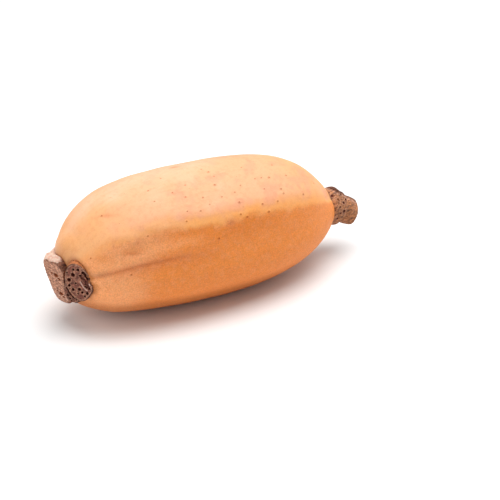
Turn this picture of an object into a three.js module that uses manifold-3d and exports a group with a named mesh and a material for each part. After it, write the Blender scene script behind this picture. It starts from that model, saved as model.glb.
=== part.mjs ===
// A lotus root segment: one swollen internode of the rhizome, cut off at the node at each end.
//
// It grew as one piece, so it is one solid. The swollen internode is a revolved form with a soft bow,
// long shallow flutes and a sharp furrow down its front. The near end (-X) is blunt and carries two cut
// stubs that fork from one node: the neck, which led to the next internode, and a smaller branch. The
// far end (+X) tapers into a ringed node with a short neck and the stub of a leaf stalk. Air canals open
// in every cut face, and old rootlets left rings of small round scars on the nodes.
//
// Millimetres, +Z up. The origin is the middle of the small flat that the segment rests on, and +X runs
// along the segment towards its tapering end.

import * as THREE from "three";
import { mergeVertices } from "three/addons/utils/BufferGeometryUtils.js";
import Module from "manifold-3d";

// ---------------------------------------------------------------- driving dimensions

const LENGTH = 160; // internode, pole to pole
const RADIUS = 36; // internode, at its middle
const TAPER = -0.06; // change of radius from the middle to the far pole, as a share
const NEAR_END = { bulge: 2.1, bluntness: 3.4, droop: 9 };
const FAR_END = { bulge: 3.0, bluntness: 1.33, droop: 6 };
const BOW = 3.3; // how far both ends bend towards +Y
const SINK = 0.8; // how much of the belly the resting flat takes off

// Long hollows and ridges. Angles are in degrees round the spine, 0 at the front (-Y) and 90 on top.
// from and to are stations along the spine, -1 at the near pole and 1 at the far one.
const RELIEFS = [
  { name: "front furrow", angle: 8.7, width: 2.8, height: -0.9, from: -1.1, to: -0.25 },
  { name: "soft lower side of the furrow", angle: 3.5, width: 6.5, height: -0.6, from: -0.9, to: -0.3 },
  { name: "furrow's upper bank", angle: 15.5, width: 4.5, height: 0.5, from: -1.0, to: -0.1 },
  { name: "soft upper furrow", angle: 27, width: 4.5, height: -0.4, from: -0.85, to: 0.1 },
  { name: "front valley, near half", angle: 14, width: 17, height: -2.5, from: -0.98, to: -0.2 },
  { name: "front valley, far half", angle: 9, width: 17, height: -2.5, from: -0.44, to: 0.95 },
  { name: "front shoulder, near half", angle: 44, width: 10, height: 0.9, from: -1.0, to: -0.2 },
  { name: "front shoulder, far half", angle: 39, width: 10, height: 0.9, from: -0.44, to: 0.95 },
  { name: "lower lobe", angle: -16, width: 15, height: 0.6, from: -0.95, to: 0.5 },
  { name: "low front flute", angle: -44, width: 10, height: -0.8, from: -0.9, to: 0.4 },
  { name: "full near shoulder", angle: 100, width: 50, height: 1.1, from: -1.3, to: -0.5 },
  { name: "slack near belly", angle: -56, width: 34, height: -3.4, from: -1.6, to: -0.74 },
  { name: "slack far shoulder", angle: 52, width: 34, height: -8, from: 0.68, to: 1.6 },
  { name: "top flute", angle: 112, width: 13, height: -0.7, from: -0.5, to: 0.95 },
  { name: "back furrow", angle: 178, width: 5, height: -1.3, from: -0.2, to: 1.0 },
  { name: "back hollow", angle: 157, width: 11, height: -1.2, from: -0.9, to: 0.6 },
  { name: "low back flute", angle: 212, width: 12, height: -1.0, from: -0.8, to: 0.8 },
];
const RELIEF_FADE = 0.24; // length over which a hollow runs out, in stations

// The brow: over the neck, the near end swells out towards -X by push, at stations beyond full.
const BROW = { angle: 92, width: 36, push: 5, from: -0.94, full: -0.985 };

const ROUND_STEPS = 78; // facets round the internode
const LONG_STEPS = 38; // facets along it
const CROWDING = { angle: 18, share: 0.45 }; // the facets round it crowd towards the front furrow
const STUB_STEPS = 28; // facets round a stub
const ROOT_DEPTH = 9; // how far a stub's root is sunk into the internode

// Each stub leaves a point near its pole, given as an offset from the pole, and grows along its axis up
// to an oblique cut. reach is from that point to the cut. cut is the normal of the cut face. tall and
// wide are half widths, tall being the one nearest to +Z before the outline is rolled, in degrees. flare
// is the root's extra width as a share, belly that of its middle, and narrow is what the rim of the cut
// keeps of it. squareness above 2 flattens the sides, and corners are fuller or slacker places of the
// outline: degrees round it, and the share that they add.
const NECK = {
  offset: [3.89, 5.19, -1.99],
  axis: [-0.843, -0.432, -0.321],
  cut: [-0.84, -0.41, -0.31],
  roll: 0,
  tall: 15.4,
  wide: 6,
  flare: 0,
  belly: 0.08,
  narrow: 0.95,
  squareness: 3.3,
  corners: [[50, 0.08], [135, 0.05], [300, -0.08]],
  reach: 9.5,
};
const BRANCH = {
  offset: [5, -10.55, 0.91],
  axis: [-0.666, -0.739, 0.104],
  cut: [-0.73, -0.66, 0.12],
  roll: -27,
  tall: 10.3,
  wide: 7.3,
  flare: 0.02,
  belly: 0,
  narrow: 0.955,
  squareness: 2.15,
  corners: [[245, -0.18]],
  reach: 7.5,
};
const FORK = {
  offset: [2.83, -4.68, -7.65],
  axis: [-0.666, -0.739, 0.104],
  cut: [-0.8, -0.5, -0.25],
  roll: 6,
  tall: 7.8,
  wide: 4.6,
  flare: 0.1,
  belly: 0,
  narrow: 0.85,
  squareness: 2.1,
  corners: [],
  reach: 6,
};
const FAR_RING = {
  offset: [-3.5, 0, 0.4],
  axis: [0.86, -0.22, -0.42],
  cut: [0.86, -0.22, -0.42],
  roll: 0,
  tall: 9.3,
  wide: 9.8,
  flare: 0.14,
  belly: 0,
  narrow: 0.84,
  squareness: 2,
  corners: [],
  reach: 7.5,
};
const FAR_NECK = {
  offset: [-2, 0, 0],
  axis: [0.86, -0.22, -0.42],
  cut: [0.9, -0.1, -0.4],
  roll: 0,
  tall: 7.6,
  wide: 8,
  flare: 0,
  belly: 0,
  narrow: 0.93,
  squareness: 2.2,
  corners: [],
  reach: 13,
};
const LEAF_STALK = {
  offset: [-3, 6, -3],
  axis: [0.72, 0.62, -0.3],
  cut: [0.8, 0.5, -0.3],
  roll: 0,
  tall: 4.4,
  wide: 4.2,
  flare: 0.15,
  belly: 0,
  narrow: 0.92,
  squareness: 2,
  corners: [],
  reach: 8.5,
};

// Air canals, round blind holes in a cut face. On the near faces each one is given: across the face, up
// it, and its radius. Where three or more of the branch's canals have torn open together, the holes are
// shallow. On the far faces they lie in rings, whose share is the ring's radius as a share of the face's.
const CANAL_DEPTH = 5;
const TORN_DEPTH = 1.4;
const CANAL_SPOTS = {
  neck: [
    [-0.3, 5, 1.5],
    [-1.6, 2.6, 0.9],
    [2.1, 5.7, 0.6],
    [0.4, -8.6, 1.3],
    [-0.5, -10.6, 0.7],
    [2.5, -7.3, 0.5],
    [3.2, 8.2, 0.4],
    [0.8, 13.5, 0.4],
    [-5.2, 5.5, 0.55],
    [-0.5, -0.8, 0.4],
    [4.1, -3.6, 0.35],
  ],
  branch: [
    [-0.4, 7.3, 0.65],
    [-2.7, 6.3, 0.8],
    [1.1, 4.9, 1.1],
    [4.3, 3.1, 1],
    [1.7, 0.3, 0.5],
    [5.5, 0.4, 0.75],
    [4.6, -2.2, 0.8],
    [1.3, -3.2, 0.9],
    [0.6, -5.2, 0.7],
    [3, -5, 0.55],
    [-1.9, -6.5, 0.8],
    [0.1, -7.5, 0.6],
    [3.6, 6.9, 0.45],
    [-4.7, 3.4, 0.5],
  ],
  torn: [
    [-2.5, 3, 1],
    [-2.9, 1.5, 1.15],
    [-3.4, 0, 1.2],
    [-4.2, -1.3, 1.1],
    [-3.2, -2.1, 1],
    [-4.2, -3, 1.1],
    [-3.2, -3.6, 1],
    [-4, -4.6, 0.9],
  ],
};
const CANAL_RINGS = {
  farNeck: [
    { count: 8, share: 0.58, radius: 1.0, turn: 0 },
    { count: 1, share: 0, radius: 0.7, turn: 0 },
  ],
  leafStalk: [{ count: 4, share: 0.48, radius: 0.8, turn: 45 }],
};

// Scars of old rootlets: small pits in rings round a stub's flank.
const SCAR_DEPTH = 1.0;
const SCARS = {
  neck: [{ count: 15, radius: 0.7, height: 3.4 }],
  branch: [{ count: 10, radius: 0.65, height: 3 }],
  farRing: [
    { count: 17, radius: 0.8, height: 1.2 },
    { count: 17, radius: 0.7, height: 4.8 },
  ],
};

const CORNER_WIDTH = 26; // reach of a corner round an outline, in degrees
const UNEVENNESS = 0.033; // how far a stub's outline strays from its oval, as a share
const SEED = 11;

const SKIN = new THREE.MeshStandardMaterial({ color: 0xf0b27c, roughness: 0.55, metalness: 0 });

// ---------------------------------------------------------------- solids and booleans

const wasm = await Module();
wasm.setup();

/** A closed three.js geometry as a manifold-3d solid. */
function solid(geometry) {
  const bare = geometry.clone();
  bare.deleteAttribute("normal");
  bare.deleteAttribute("uv");
  const merged = mergeVertices(bare, 1e-4);
  return new wasm.Manifold(
    new wasm.Mesh({
      numProp: 3,
      vertProperties: merged.attributes.position.array,
      triVerts: new Uint32Array(merged.index.array),
    }),
  );
}

/** A manifold-3d solid as a three.js geometry. */
function geometryOf(made) {
  const mesh = made.getMesh();
  const geometry = new THREE.BufferGeometry();
  geometry.setAttribute("position", new THREE.BufferAttribute(mesh.vertProperties, 3));
  geometry.setIndex(new THREE.BufferAttribute(mesh.triVerts, 1));
  geometry.computeVertexNormals();
  return geometry;
}

const union = (solids) => solids.reduce((all, next) => all.add(next));

/** Repeatable random numbers from -1 to 1. */
function randomFrom(seed) {
  let state = seed;
  return () => {
    state = (state * 48271) % 2147483647;
    return (2 * state) / 2147483647 - 1;
  };
}

// ---------------------------------------------------------------- the internode

const end = (station) => (station < 0 ? NEAR_END : FAR_END);

/** Radius of the plain internode, before its hollows. */
function internodeRadius(station) {
  const { bulge, bluntness } = end(station);
  const swell = Math.pow(Math.max(0, 1 - Math.pow(Math.abs(station), bulge)), 1 / bluntness);
  return RADIUS * (1 + TAPER * station) * swell;
}

/** A point of the spine: it rides level over the belly, bows towards +Y and droops at both ends. */
function spine(station) {
  const droop = end(station).droop * Math.pow(station, 4);
  return new THREE.Vector3(
    (station * LENGTH) / 2,
    BOW * station * station,
    RADIUS * (1 + TAPER * station) - SINK - droop,
  );
}

/** Degrees from one direction to another, from -180 to 180. */
const turnOff = (angle, centre) => ((((angle - centre) % 360) + 540) % 360) - 180;

/** Height of all long hollows and ridges at a station and an angle in degrees. */
function relief(station, angle) {
  return RELIEFS.reduce((sum, { angle: centre, width, height, from, to }) => {
    const off = turnOff(angle, centre);
    const starts = THREE.MathUtils.smoothstep(station, from, from + RELIEF_FADE);
    const ends = 1 - THREE.MathUtils.smoothstep(station, to - RELIEF_FADE, to);
    return sum + height * Math.exp(-((off / width) ** 2)) * starts * ends;
  }, 0);
}

/** How far the brow over the neck swells out towards -X at a station and an angle in degrees. */
function brow(station, angle) {
  const { angle: centre, width, push, from, full } = BROW;
  const swells = 1 - THREE.MathUtils.smoothstep(station, full, from);
  const offPole = THREE.MathUtils.smoothstep(station, -1, -0.998);
  return push * Math.exp(-((turnOff(angle, centre) / width) ** 2)) * swells * offPole;
}

/** The internode: a unit sphere whose every vertex is moved to its station and angle on the root. */
function internode() {
  const geometry = new THREE.SphereGeometry(1, ROUND_STEPS, LONG_STEPS).rotateZ(Math.PI / 2);
  const places = geometry.attributes.position;
  const place = new THREE.Vector3();
  const crowd = THREE.MathUtils.degToRad(CROWDING.angle);
  for (let i = 0; i < places.count; i++) {
    place.fromBufferAttribute(places, i);
    const station = THREE.MathUtils.clamp(place.x, -1, 1);
    const even = Math.atan2(place.z, -place.y);
    const round = even - CROWDING.share * Math.sin(even - crowd);
    const plain = internodeRadius(station);
    const share = Math.min(1, plain / RADIUS); // hollows shrink with the root towards its poles
    const angle = THREE.MathUtils.radToDeg(round);
    const radius = plain + share * relief(station, angle);
    const centre = spine(station);
    places.setXYZ(i, centre.x - brow(station, angle), centre.y - radius * Math.cos(round), centre.z + radius * Math.sin(round));
  }
  return solid(geometry);
}

// ---------------------------------------------------------------- cut stubs

/** The frame of a stub: y runs out along its axis, x and z across it in the plane of the cut. */
function stubFrame({ offset, axis, cut, roll }, pole) {
  const normal = new THREE.Vector3(...cut).normalize();
  const across = new THREE.Vector3()
    .crossVectors(normal, new THREE.Vector3(0, 0, 1))
    .normalize()
    .applyAxisAngle(normal, -THREE.MathUtils.degToRad(roll));
  const tall = new THREE.Vector3().crossVectors(across, normal);
  return new THREE.Matrix4()
    .makeBasis(across, new THREE.Vector3(...axis).normalize(), tall)
    .setPosition(new THREE.Vector3(...offset).add(pole));
}

/** Distance from a stub's axis to its outline, as a share of the half width, at an angle round it. */
function outline({ squareness, corners, tall }, round) {
  const sides = Math.abs(Math.cos(round)) ** squareness + Math.abs(Math.sin(round)) ** squareness;
  const stray = Math.sin(2 * round + tall) + Math.sin(3 * round + 2 * tall) + 0.5 * Math.sin(5 * round);
  const oval = sides ** (-1 / squareness) * (1 + UNEVENNESS * stray);
  return corners.reduce((out, [corner, amount]) => {
    const off = turnOff(THREE.MathUtils.radToDeg(round), corner);
    return out * (1 + amount * Math.exp(-((off / CORNER_WIDTH) ** 2)));
  }, oval);
}

/** A stub: flared where it leaves the node, with a worn edge round a slightly dished cut face. */
function stub(size, pole) {
  const { tall, wide, reach, flare, belly, narrow } = size;
  const profile = [
    [0, -ROOT_DEPTH],
    [0.6, -ROOT_DEPTH],
    [1 + flare, 0],
    [1 + flare / 3, reach * 0.35],
    [1 + belly, reach * 0.65],
    [(1 + narrow + belly) / 2, reach * 0.92],
    [narrow, reach],
    [narrow - 0.12, reach - 0.3],
    [0, reach - 0.6],
  ].map(([share, height]) => new THREE.Vector2(share, height));
  const geometry = new THREE.LatheGeometry(profile, STUB_STEPS);
  const places = geometry.attributes.position;
  for (let i = 0; i < places.count; i++) {
    const out = outline(size, Math.atan2(places.getZ(i), places.getX(i)));
    places.setX(i, places.getX(i) * out * wide);
    places.setZ(i, places.getZ(i) * out * tall);
  }
  return solid(geometry.applyMatrix4(stubFrame(size, pole)));
}

/** A blind round hole along +Y, from above a surface at y = 0 down to its depth. */
function pit(radius, depth, steps) {
  const profile = [
    [0, -depth],
    [radius, -depth + radius * 0.6],
    [radius, 2],
    [0, 2],
  ].map(([across, height]) => new THREE.Vector2(across, height));
  return new THREE.LatheGeometry(profile, steps);
}

/** A hole of a stub, placed on it: its cutter, and the air before its mouth, which has to be free. */
function placed(radius, depth, steps, toSurface, frame) {
  const cutter = pit(radius, depth, steps).applyMatrix4(toSurface).applyMatrix4(frame);
  const air = pit(radius, 0, steps).translate(0, 0.3, 0).applyMatrix4(toSurface).applyMatrix4(frame);
  return { cutter: solid(cutter), air: solid(air) };
}

/** Holes at given places of a cut face. */
function spotted(size, spots, pole, depth = CANAL_DEPTH) {
  const frame = stubFrame(size, pole);
  return spots.map(([across, up, radius]) => {
    const toFace = new THREE.Matrix4().makeTranslation(across, size.reach, up);
    return placed(radius, depth, radius < 0.7 ? 6 : 8, toFace, frame);
  });
}

/** Holes in rings on a cut face. */
function ringed(size, rings, pole) {
  const frame = stubFrame(size, pole);
  const random = randomFrom(SEED);
  return rings.flatMap(({ count, share, radius, turn }) =>
    Array.from({ length: count }, (_, i) => {
      const round = THREE.MathUtils.degToRad(turn + (360 * i) / count + 5 * random());
      const out = share * (1 + 0.08 * random());
      const across = size.wide * out * Math.cos(round);
      const up = size.tall * out * Math.sin(round);
      const toFace = new THREE.Matrix4().makeTranslation(across, size.reach, up);
      return placed(radius * (1 + 0.2 * random()), CANAL_DEPTH, 8, toFace, frame);
    }),
  );
}

/** The rootlet scars round a stub's flank. */
function scars(size, rings, pole) {
  const frame = stubFrame(size, pole);
  const random = randomFrom(SEED);
  return rings.flatMap(({ count, radius, height }) =>
    Array.from({ length: count }, (_, i) => {
      const round = (2 * Math.PI * (i + 0.3 * random())) / count;
      const out = outline(size, round);
      const along = height + (i % 2 ? 0.9 : -0.9) + 0.4 * random();
      const facing = Math.atan2(Math.sin(round) / size.tall, Math.cos(round) / size.wide);
      const toFlank = new THREE.Matrix4()
        .makeTranslation(size.wide * out * Math.cos(round), along, size.tall * out * Math.sin(round))
        .multiply(new THREE.Matrix4().makeRotationY(-facing))
        .multiply(new THREE.Matrix4().makeRotationZ(-Math.PI / 2));
      return placed(radius * (1 + 0.25 * random()), SCAR_DEPTH, 6, toFlank, frame);
    }),
  );
}

// ---------------------------------------------------------------- the whole segment

const nearPole = spine(-1);
const farPole = spine(1);

const grown = union([
  internode(),
  stub(NECK, nearPole),
  stub(BRANCH, nearPole),
  stub(FORK, nearPole),
  stub(FAR_RING, farPole),
  stub(FAR_NECK, farPole),
  stub(LEAF_STALK, farPole),
]);

const holes = [
  ...spotted(NECK, CANAL_SPOTS.neck, nearPole),
  ...spotted(BRANCH, CANAL_SPOTS.branch, nearPole),
  ...spotted(BRANCH, CANAL_SPOTS.torn, nearPole, TORN_DEPTH),
  ...ringed(FAR_NECK, CANAL_RINGS.farNeck, farPole),
  ...ringed(LEAF_STALK, CANAL_RINGS.leafStalk, farPole),
  ...scars(NECK, SCARS.neck, nearPole),
  ...scars(BRANCH, SCARS.branch, nearPole),
  ...scars(FAR_RING, SCARS.farRing, farPole),
];

// A hole that a neighbour has grown over is left out: only one that opens into free air is cut.
const open = holes.filter(({ air }) => air.intersect(grown).isEmpty());
const hollows = union(open.map(({ cutter }) => cutter));

const ground = solid(new THREE.BoxGeometry(2 * LENGTH, 4 * RADIUS, 2 * RADIUS).translate(0, 0, -RADIUS));

const segment = new THREE.Mesh(geometryOf(grown.subtract(hollows).subtract(ground)), SKIN);
segment.name = "lotus_root_segment";

const part = new THREE.Group();
part.add(segment);

export default part;
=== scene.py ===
# %% [markdown]
# # A lotus root segment
# One swollen piece of lotus rhizome lies on its belly on a pale floor. It is blunt at the near end,
# where two cut stubs fork from the node, and it tapers to a ringed node at the far end.
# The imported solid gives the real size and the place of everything. This lesson dresses it: a skin with
# soft hollows and small specks, bark on the nodes, and canal holes in the cut faces.

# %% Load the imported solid
import math
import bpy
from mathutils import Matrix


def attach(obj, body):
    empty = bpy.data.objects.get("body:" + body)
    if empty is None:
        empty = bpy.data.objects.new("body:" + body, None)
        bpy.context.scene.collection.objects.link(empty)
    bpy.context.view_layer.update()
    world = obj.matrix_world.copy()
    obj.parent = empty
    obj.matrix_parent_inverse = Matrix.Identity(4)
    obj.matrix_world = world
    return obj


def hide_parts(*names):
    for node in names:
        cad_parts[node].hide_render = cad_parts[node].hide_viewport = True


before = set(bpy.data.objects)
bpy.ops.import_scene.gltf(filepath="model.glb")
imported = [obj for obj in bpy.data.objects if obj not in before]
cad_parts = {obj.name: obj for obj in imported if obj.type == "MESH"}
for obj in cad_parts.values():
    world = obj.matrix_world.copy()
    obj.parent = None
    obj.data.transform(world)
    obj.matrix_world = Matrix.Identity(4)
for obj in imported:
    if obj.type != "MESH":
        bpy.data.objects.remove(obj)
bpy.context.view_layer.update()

from types import SimpleNamespace
import bpy
from mathutils import Matrix, Vector

# %% [markdown]
# ## Sizes
# The root is measured in millimetres, and Blender works in metres, so every size is multiplied once, by
# MM. A place on the swollen body is given by a station, -1 at the near pole and 1 at the far pole, and
# by an angle round it, 0 at the front and 90 on top. That is how one would point at a root on a table.

# %% Driving sizes
MM = 0.001
LENGTH = 160 * MM
RADIUS = 36 * MM
TAPER = -0.06
BOW = 3.3 * MM
SINK = 0.8 * MM
NEAR_END = {"bulge": 2.1, "bluntness": 3.4, "droop": 9 * MM}
FAR_END = {"bulge": 3.0, "bluntness": 1.33, "droop": 6 * MM}


def spine(station):
    """A point of the root's centre line, which bows to the back and droops at both ends."""
    droop = (NEAR_END if station < 0 else FAR_END)["droop"] * station**4
    height = RADIUS * (1 + TAPER * station) - SINK - droop
    return Vector((station * LENGTH / 2, BOW * station**2, height))


print("poles at", spine(-1), "and", spine(1))

# %% [markdown]
# ## Camera
# The root is seen from the front left and from above, with a long lens, so the far end is hardly smaller
# than the near one. The camera is placed by its angles round the root, and not by a dragged position,
# because an angle is what one can read off and correct.

# %% Camera
AZIMUTH = math.radians(-30)
ELEVATION = math.radians(28)
DISTANCE = 0.9
LENS_MM = 124.4
AIM_RIGHT = 22.2 * MM
AIM_UP = -12.7 * MM


def frame_from(x_way, y_way, z_way, origin):
    """A matrix whose own axes point these ways from an origin."""
    return Matrix([*zip(x_way, y_way, z_way, origin), (0, 0, 0, 1)])


level = Vector((math.sin(AZIMUTH), -math.cos(AZIMUTH), 0))
back = math.cos(ELEVATION) * level + Vector((0, 0, math.sin(ELEVATION)))
right = Vector((math.cos(AZIMUTH), math.sin(AZIMUTH), 0))
up = back.cross(right)
aim = Vector((0, 0, RADIUS)) + AIM_RIGHT * right + AIM_UP * up
stand = aim + DISTANCE * back

camera = bpy.data.objects.new("camera", bpy.data.cameras.new("camera"))
bpy.context.scene.collection.objects.link(camera)
camera.matrix_world = frame_from(right, up, back, stand)
camera.data.lens = LENS_MM
bpy.context.scene.camera = camera
print("camera at", stand)

# %% [markdown]
# ## Light and floor
# Food is mostly shot under one big soft box, on white. The box hangs overhead, a little to the back, so
# the top of the root is bright and its front turns softly into shade. Two weaker boxes stand at the
# sides, and a weak world light fills the rest.

# %% Light
SOFT_BOXES = {  # place, size and power of each
    "overhead_box": ((0.1, 0.02, 0.75), 0.75, 7.5),
    "left_fill": ((-0.9, 0.05, 0.45), 0.8, 3.8),
    "right_fill": ((0.85, 0.1, 0.5), 0.8, 3.0),
}
LIT_POINT = Vector((0, 0, 0.03))
WORLD_LIGHT = 0.35

for box_name, (box_place, box_size, power) in SOFT_BOXES.items():
    light = bpy.data.lights.new(box_name, "AREA")
    light.shape = "SQUARE"
    light.size = box_size
    light.energy = power
    lamp = bpy.data.objects.new(box_name, light)
    lamp.location = box_place
    lamp.rotation_euler = (LIT_POINT - Vector(box_place)).to_track_quat("-Z", "Y").to_euler()
    bpy.context.scene.collection.objects.link(lamp)

world = bpy.data.worlds.new("studio")
world.use_nodes = True
background = world.node_tree.nodes["Background"]
background.inputs["Color"].default_value = (1, 1, 1, 1)
background.inputs["Strength"].default_value = WORLD_LIGHT
bpy.context.scene.world = world
bpy.context.scene.view_settings.view_transform = "Standard"
print("soft boxes:", *SOFT_BOXES)

# %% Floor
HALF_FLOOR = 3.0
FLOOR_WHITE = (0.86, 0.86, 0.86, 1)
FLOOR_ROUGHNESS = 0.9


def new_piece(name, points=(), faces=()):
    """A new object at the origin, with its place in its mesh."""
    mesh = bpy.data.meshes.new(name)
    mesh.from_pydata(points, [], faces)
    piece = bpy.data.objects.new(name, mesh)
    bpy.context.scene.collection.objects.link(piece)
    return piece


def new_finish(name):
    """A new material and its shader."""
    material = bpy.data.materials.new(name)
    material.use_nodes = True
    return material, material.node_tree.nodes["Principled BSDF"]


corners = [(-1, -1, 0), (1, -1, 0), (1, 1, 0), (-1, 1, 0)]
floor = new_piece("floor", [Vector(corner) * HALF_FLOOR for corner in corners], [(0, 1, 2, 3)])
floor_paint, floor_shader = new_finish("pale_floor")
floor_shader.inputs["Base Color"].default_value = FLOOR_WHITE
floor_shader.inputs["Roughness"].default_value = FLOOR_ROUGHNESS
floor.data.materials.append(floor_paint)
print("floor is", 2 * HALF_FLOOR, "metres wide")

# %% [markdown]
# ## Sums in node trees
# Shapes and materials below are sums of many small nodes. A sum is easier to read as plain arithmetic,
# so an output of a node is wrapped as a Wire: adding or multiplying two wires makes the node that does
# it. The same few helpers serve both shapes and materials.


# %% Wires and nodes
class Wire:
    """An output of a node. Its sums are nodes of the same tree."""

    def __init__(self, tree, socket):
        self.tree = tree
        self.socket = socket

    def __add__(self, other):
        return calc("ADD", self, other)

    def __sub__(self, other):
        return calc("SUBTRACT", self, other)

    def __rsub__(self, other):
        return calc("SUBTRACT", other, self)

    def __mul__(self, other):
        return calc("MULTIPLY", self, other)

    def __truediv__(self, other):
        return calc("DIVIDE", self, other)

    def __rtruediv__(self, other):
        return calc("DIVIDE", other, self)

    def __neg__(self):
        return calc("MULTIPLY", self, -1.0)


class Outputs:
    """The outputs of a node as wires, by name or by number."""

    def __init__(self, tree, node):
        self.tree = tree
        self.node = node

    def __getitem__(self, name):
        return Wire(self.tree, self.node.outputs[name])


def wire(value, socket):
    """Join a wire to an input, or set the input to a plain value."""
    if isinstance(value, Wire):
        value.tree.links.new(value.socket, socket)
    else:
        socket.default_value = value


def make(tree, kind, inputs=None, **settings):
    """A new node with its settings and inputs. It gives back the node's outputs."""
    node = tree.nodes.new(kind)
    for name, value in settings.items():
        setattr(node, name, value)
    for name, value in (inputs or {}).items():
        wire(value, node.inputs[name])
    return Outputs(tree, node)


print("helpers: Wire, Outputs, wire, make")


# %% Sums and patterns
def tree_of(*values):
    """The tree that the first wire among some values belongs to."""
    return next(value.tree for value in values if isinstance(value, Wire))


def is_vector(value):
    """Whether a value is a place, a direction or a colour, and not a number."""
    return isinstance(value, tuple) or (isinstance(value, Wire) and value.socket.type in ("VECTOR", "RGBA"))


def calc(operation, *values):
    """One sum of numbers or of vectors, or a vector times a number."""
    tree = tree_of(*values)
    if not any(is_vector(value) for value in values):
        return make(tree, "ShaderNodeMath", dict(enumerate(values)), operation=operation)[0]
    if operation == "MULTIPLY" and not is_vector(values[1]):
        inputs = {"Vector": values[0], "Scale": values[1]}
        return make(tree, "ShaderNodeVectorMath", inputs, operation="SCALE")["Vector"]
    node = make(tree, "ShaderNodeVectorMath", dict(enumerate(values)), operation=operation)
    return node["Value" if operation in ("LENGTH", "DOT_PRODUCT", "DISTANCE") else "Vector"]


def ramp(value, start, stop, low=0.0, high=1.0, smooth=True):
    """A number that goes from low to high while the value goes from start to stop."""
    limits = {"Value": value, "From Min": start, "From Max": stop, "To Min": low, "To Max": high}
    shape = "SMOOTHSTEP" if smooth else "LINEAR"
    return make(value.tree, "ShaderNodeMapRange", limits, interpolation_type=shape)["Result"]


def bell(value, centre, width):
    """A smooth bump of height 1 round the centre."""
    off = (value - centre) / width
    return calc("EXPONENT", -(off * off))


def noise(place, scale, detail=2.0, roughness=0.5, output=0):
    """A cloudy pattern from 0 to 1."""
    inputs = {"Vector": place, "Scale": scale, "Detail": detail, "Roughness": roughness}
    return make(place.tree, "ShaderNodeTexNoise", inputs)[output]


def parts(vector):
    """The X, Y and Z of a vector."""
    return make(vector.tree, "ShaderNodeSeparateXYZ", {"Vector": vector})


def vector_from(x, y, z):
    """A vector from three numbers."""
    return make(tree_of(x, y, z), "ShaderNodeCombineXYZ", {"X": x, "Y": y, "Z": z})[0]


def new_group(name, kind, inputs, outputs):
    """An empty node group with named inputs and outputs, and what its inputs give."""
    tree = bpy.data.node_groups.new(name, kind)
    for way, sockets in (("OUTPUT", outputs), ("INPUT", inputs)):
        for label, socket in sockets.items():
            tree.interface.new_socket(label, in_out=way, socket_type=f"NodeSocket{socket}")
    return tree, make(tree, "NodeGroupInput")


def use_group(tree, group, inputs):
    """Place a group in a tree, with its own values."""
    kind = "GeometryNodeGroup" if tree.type == "GEOMETRY" else "ShaderNodeGroup"
    return make(tree, kind, inputs, node_tree=group)


print("helpers: calc, ramp, bell, noise, parts, vector_from, new_group, use_group")

# %% [markdown]
# ## Growing a piece
# A shape tree is run on a piece once, and the plain mesh that comes out is kept, so that the piece
# needs no modifier later. Every tree ends the same way: smooth shading, instances made real, and the
# piece's material. Its inputs are named, so a maker could turn them like dials.

# %% Shape tree helpers
SOCKETS = {float: "Float", int: "Int", bpy.types.Object: "Object", bpy.types.Material: "Material"}


def bake(piece):
    """Replace a piece's mesh by what its modifiers make of it."""
    graph = bpy.context.evaluated_depsgraph_get()
    mesh = bpy.data.meshes.new_from_object(piece.evaluated_get(graph), depsgraph=graph)
    piece.modifiers.clear()
    piece.data = mesh
    mesh.name = piece.name
    print(piece.name, "has", len(mesh.vertices), "points and", len(mesh.polygons), "faces")


def grow(piece, build, dials, material):
    """Build a shape tree, run it on a piece with its dials set, and keep the mesh."""
    dials = {**dials, "Material": material}
    sockets = {label: SOCKETS[type(value)] for label, value in dials.items()}
    geometry_only = {"Geometry": "Geometry"}
    tree, given = new_group(build.__name__, "GeometryNodeTree", {**geometry_only, **sockets}, geometry_only)
    geometry = build(tree, given)
    for kind in ("GeometryNodeSetShadeSmooth", "GeometryNodeRealizeInstances"):
        geometry = make(tree, kind, {"Geometry": geometry})[0]
    finish = {"Geometry": geometry, "Material": given["Material"]}
    geometry = make(tree, "GeometryNodeSetMaterial", finish)[0]
    make(tree, "NodeGroupOutput", {"Geometry": geometry})

    modifier = piece.modifiers.new(tree.name, "NODES")
    modifier.node_group = tree
    for item in tree.interface.items_tree:
        if item.in_out == "INPUT" and item.name in dials:
            modifier[item.identifier] = dials[item.name]
    bake(piece)


def melt(piece, size):
    """Melt a piece's shells into one even skin."""
    modifier = piece.modifiers.new("melt", "REMESH")
    modifier.mode = "VOXEL"
    modifier.voxel_size = size
    bake(piece)


def write_marks(piece, marks):
    """Write named numbers on a piece's points."""
    for label, values in marks.items():
        piece.data.attributes.new(label, "FLOAT", "POINT").data.foreach_set("value", values)


print("kinds of dials:", *SOCKETS.values())


# %% Geometry helpers
def here(tree):
    """The place of each point."""
    return make(tree, "GeometryNodeInputPosition")[0]


def facing(tree):
    """The way each point faces."""
    return make(tree, "GeometryNodeInputNormal")[0]


def shift(geometry, offset):
    """Move every point."""
    return make(geometry.tree, "GeometryNodeSetPosition", {"Geometry": geometry, "Offset": offset})[0]


def join(*pieces):
    """Several geometries as one."""
    node = pieces[0].tree.nodes.new("GeometryNodeJoinGeometry")
    for piece in pieces:
        wire(piece, node.inputs[0])
    return Wire(pieces[0].tree, node.outputs[0])


def geometry_of(chosen):
    """The geometry of an object that a tree is given."""
    inputs = {"Object": chosen}
    return make(chosen.tree, "GeometryNodeObjectInfo", inputs, transform_space="ORIGINAL")["Geometry"]


def store_mark(geometry, label, value, kind="FLOAT"):
    """Write a mark on every point."""
    inputs = {"Geometry": geometry, "Name": label, "Value": value}
    return make(geometry.tree, "GeometryNodeStoreNamedAttribute", inputs, data_type=kind, domain="POINT")[0]


def read_mark(tree, label, kind="FLOAT"):
    """Read a mark of the points."""
    return make(tree, "GeometryNodeInputNamedAttribute", {"Name": label}, data_type=kind)[0]


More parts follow.
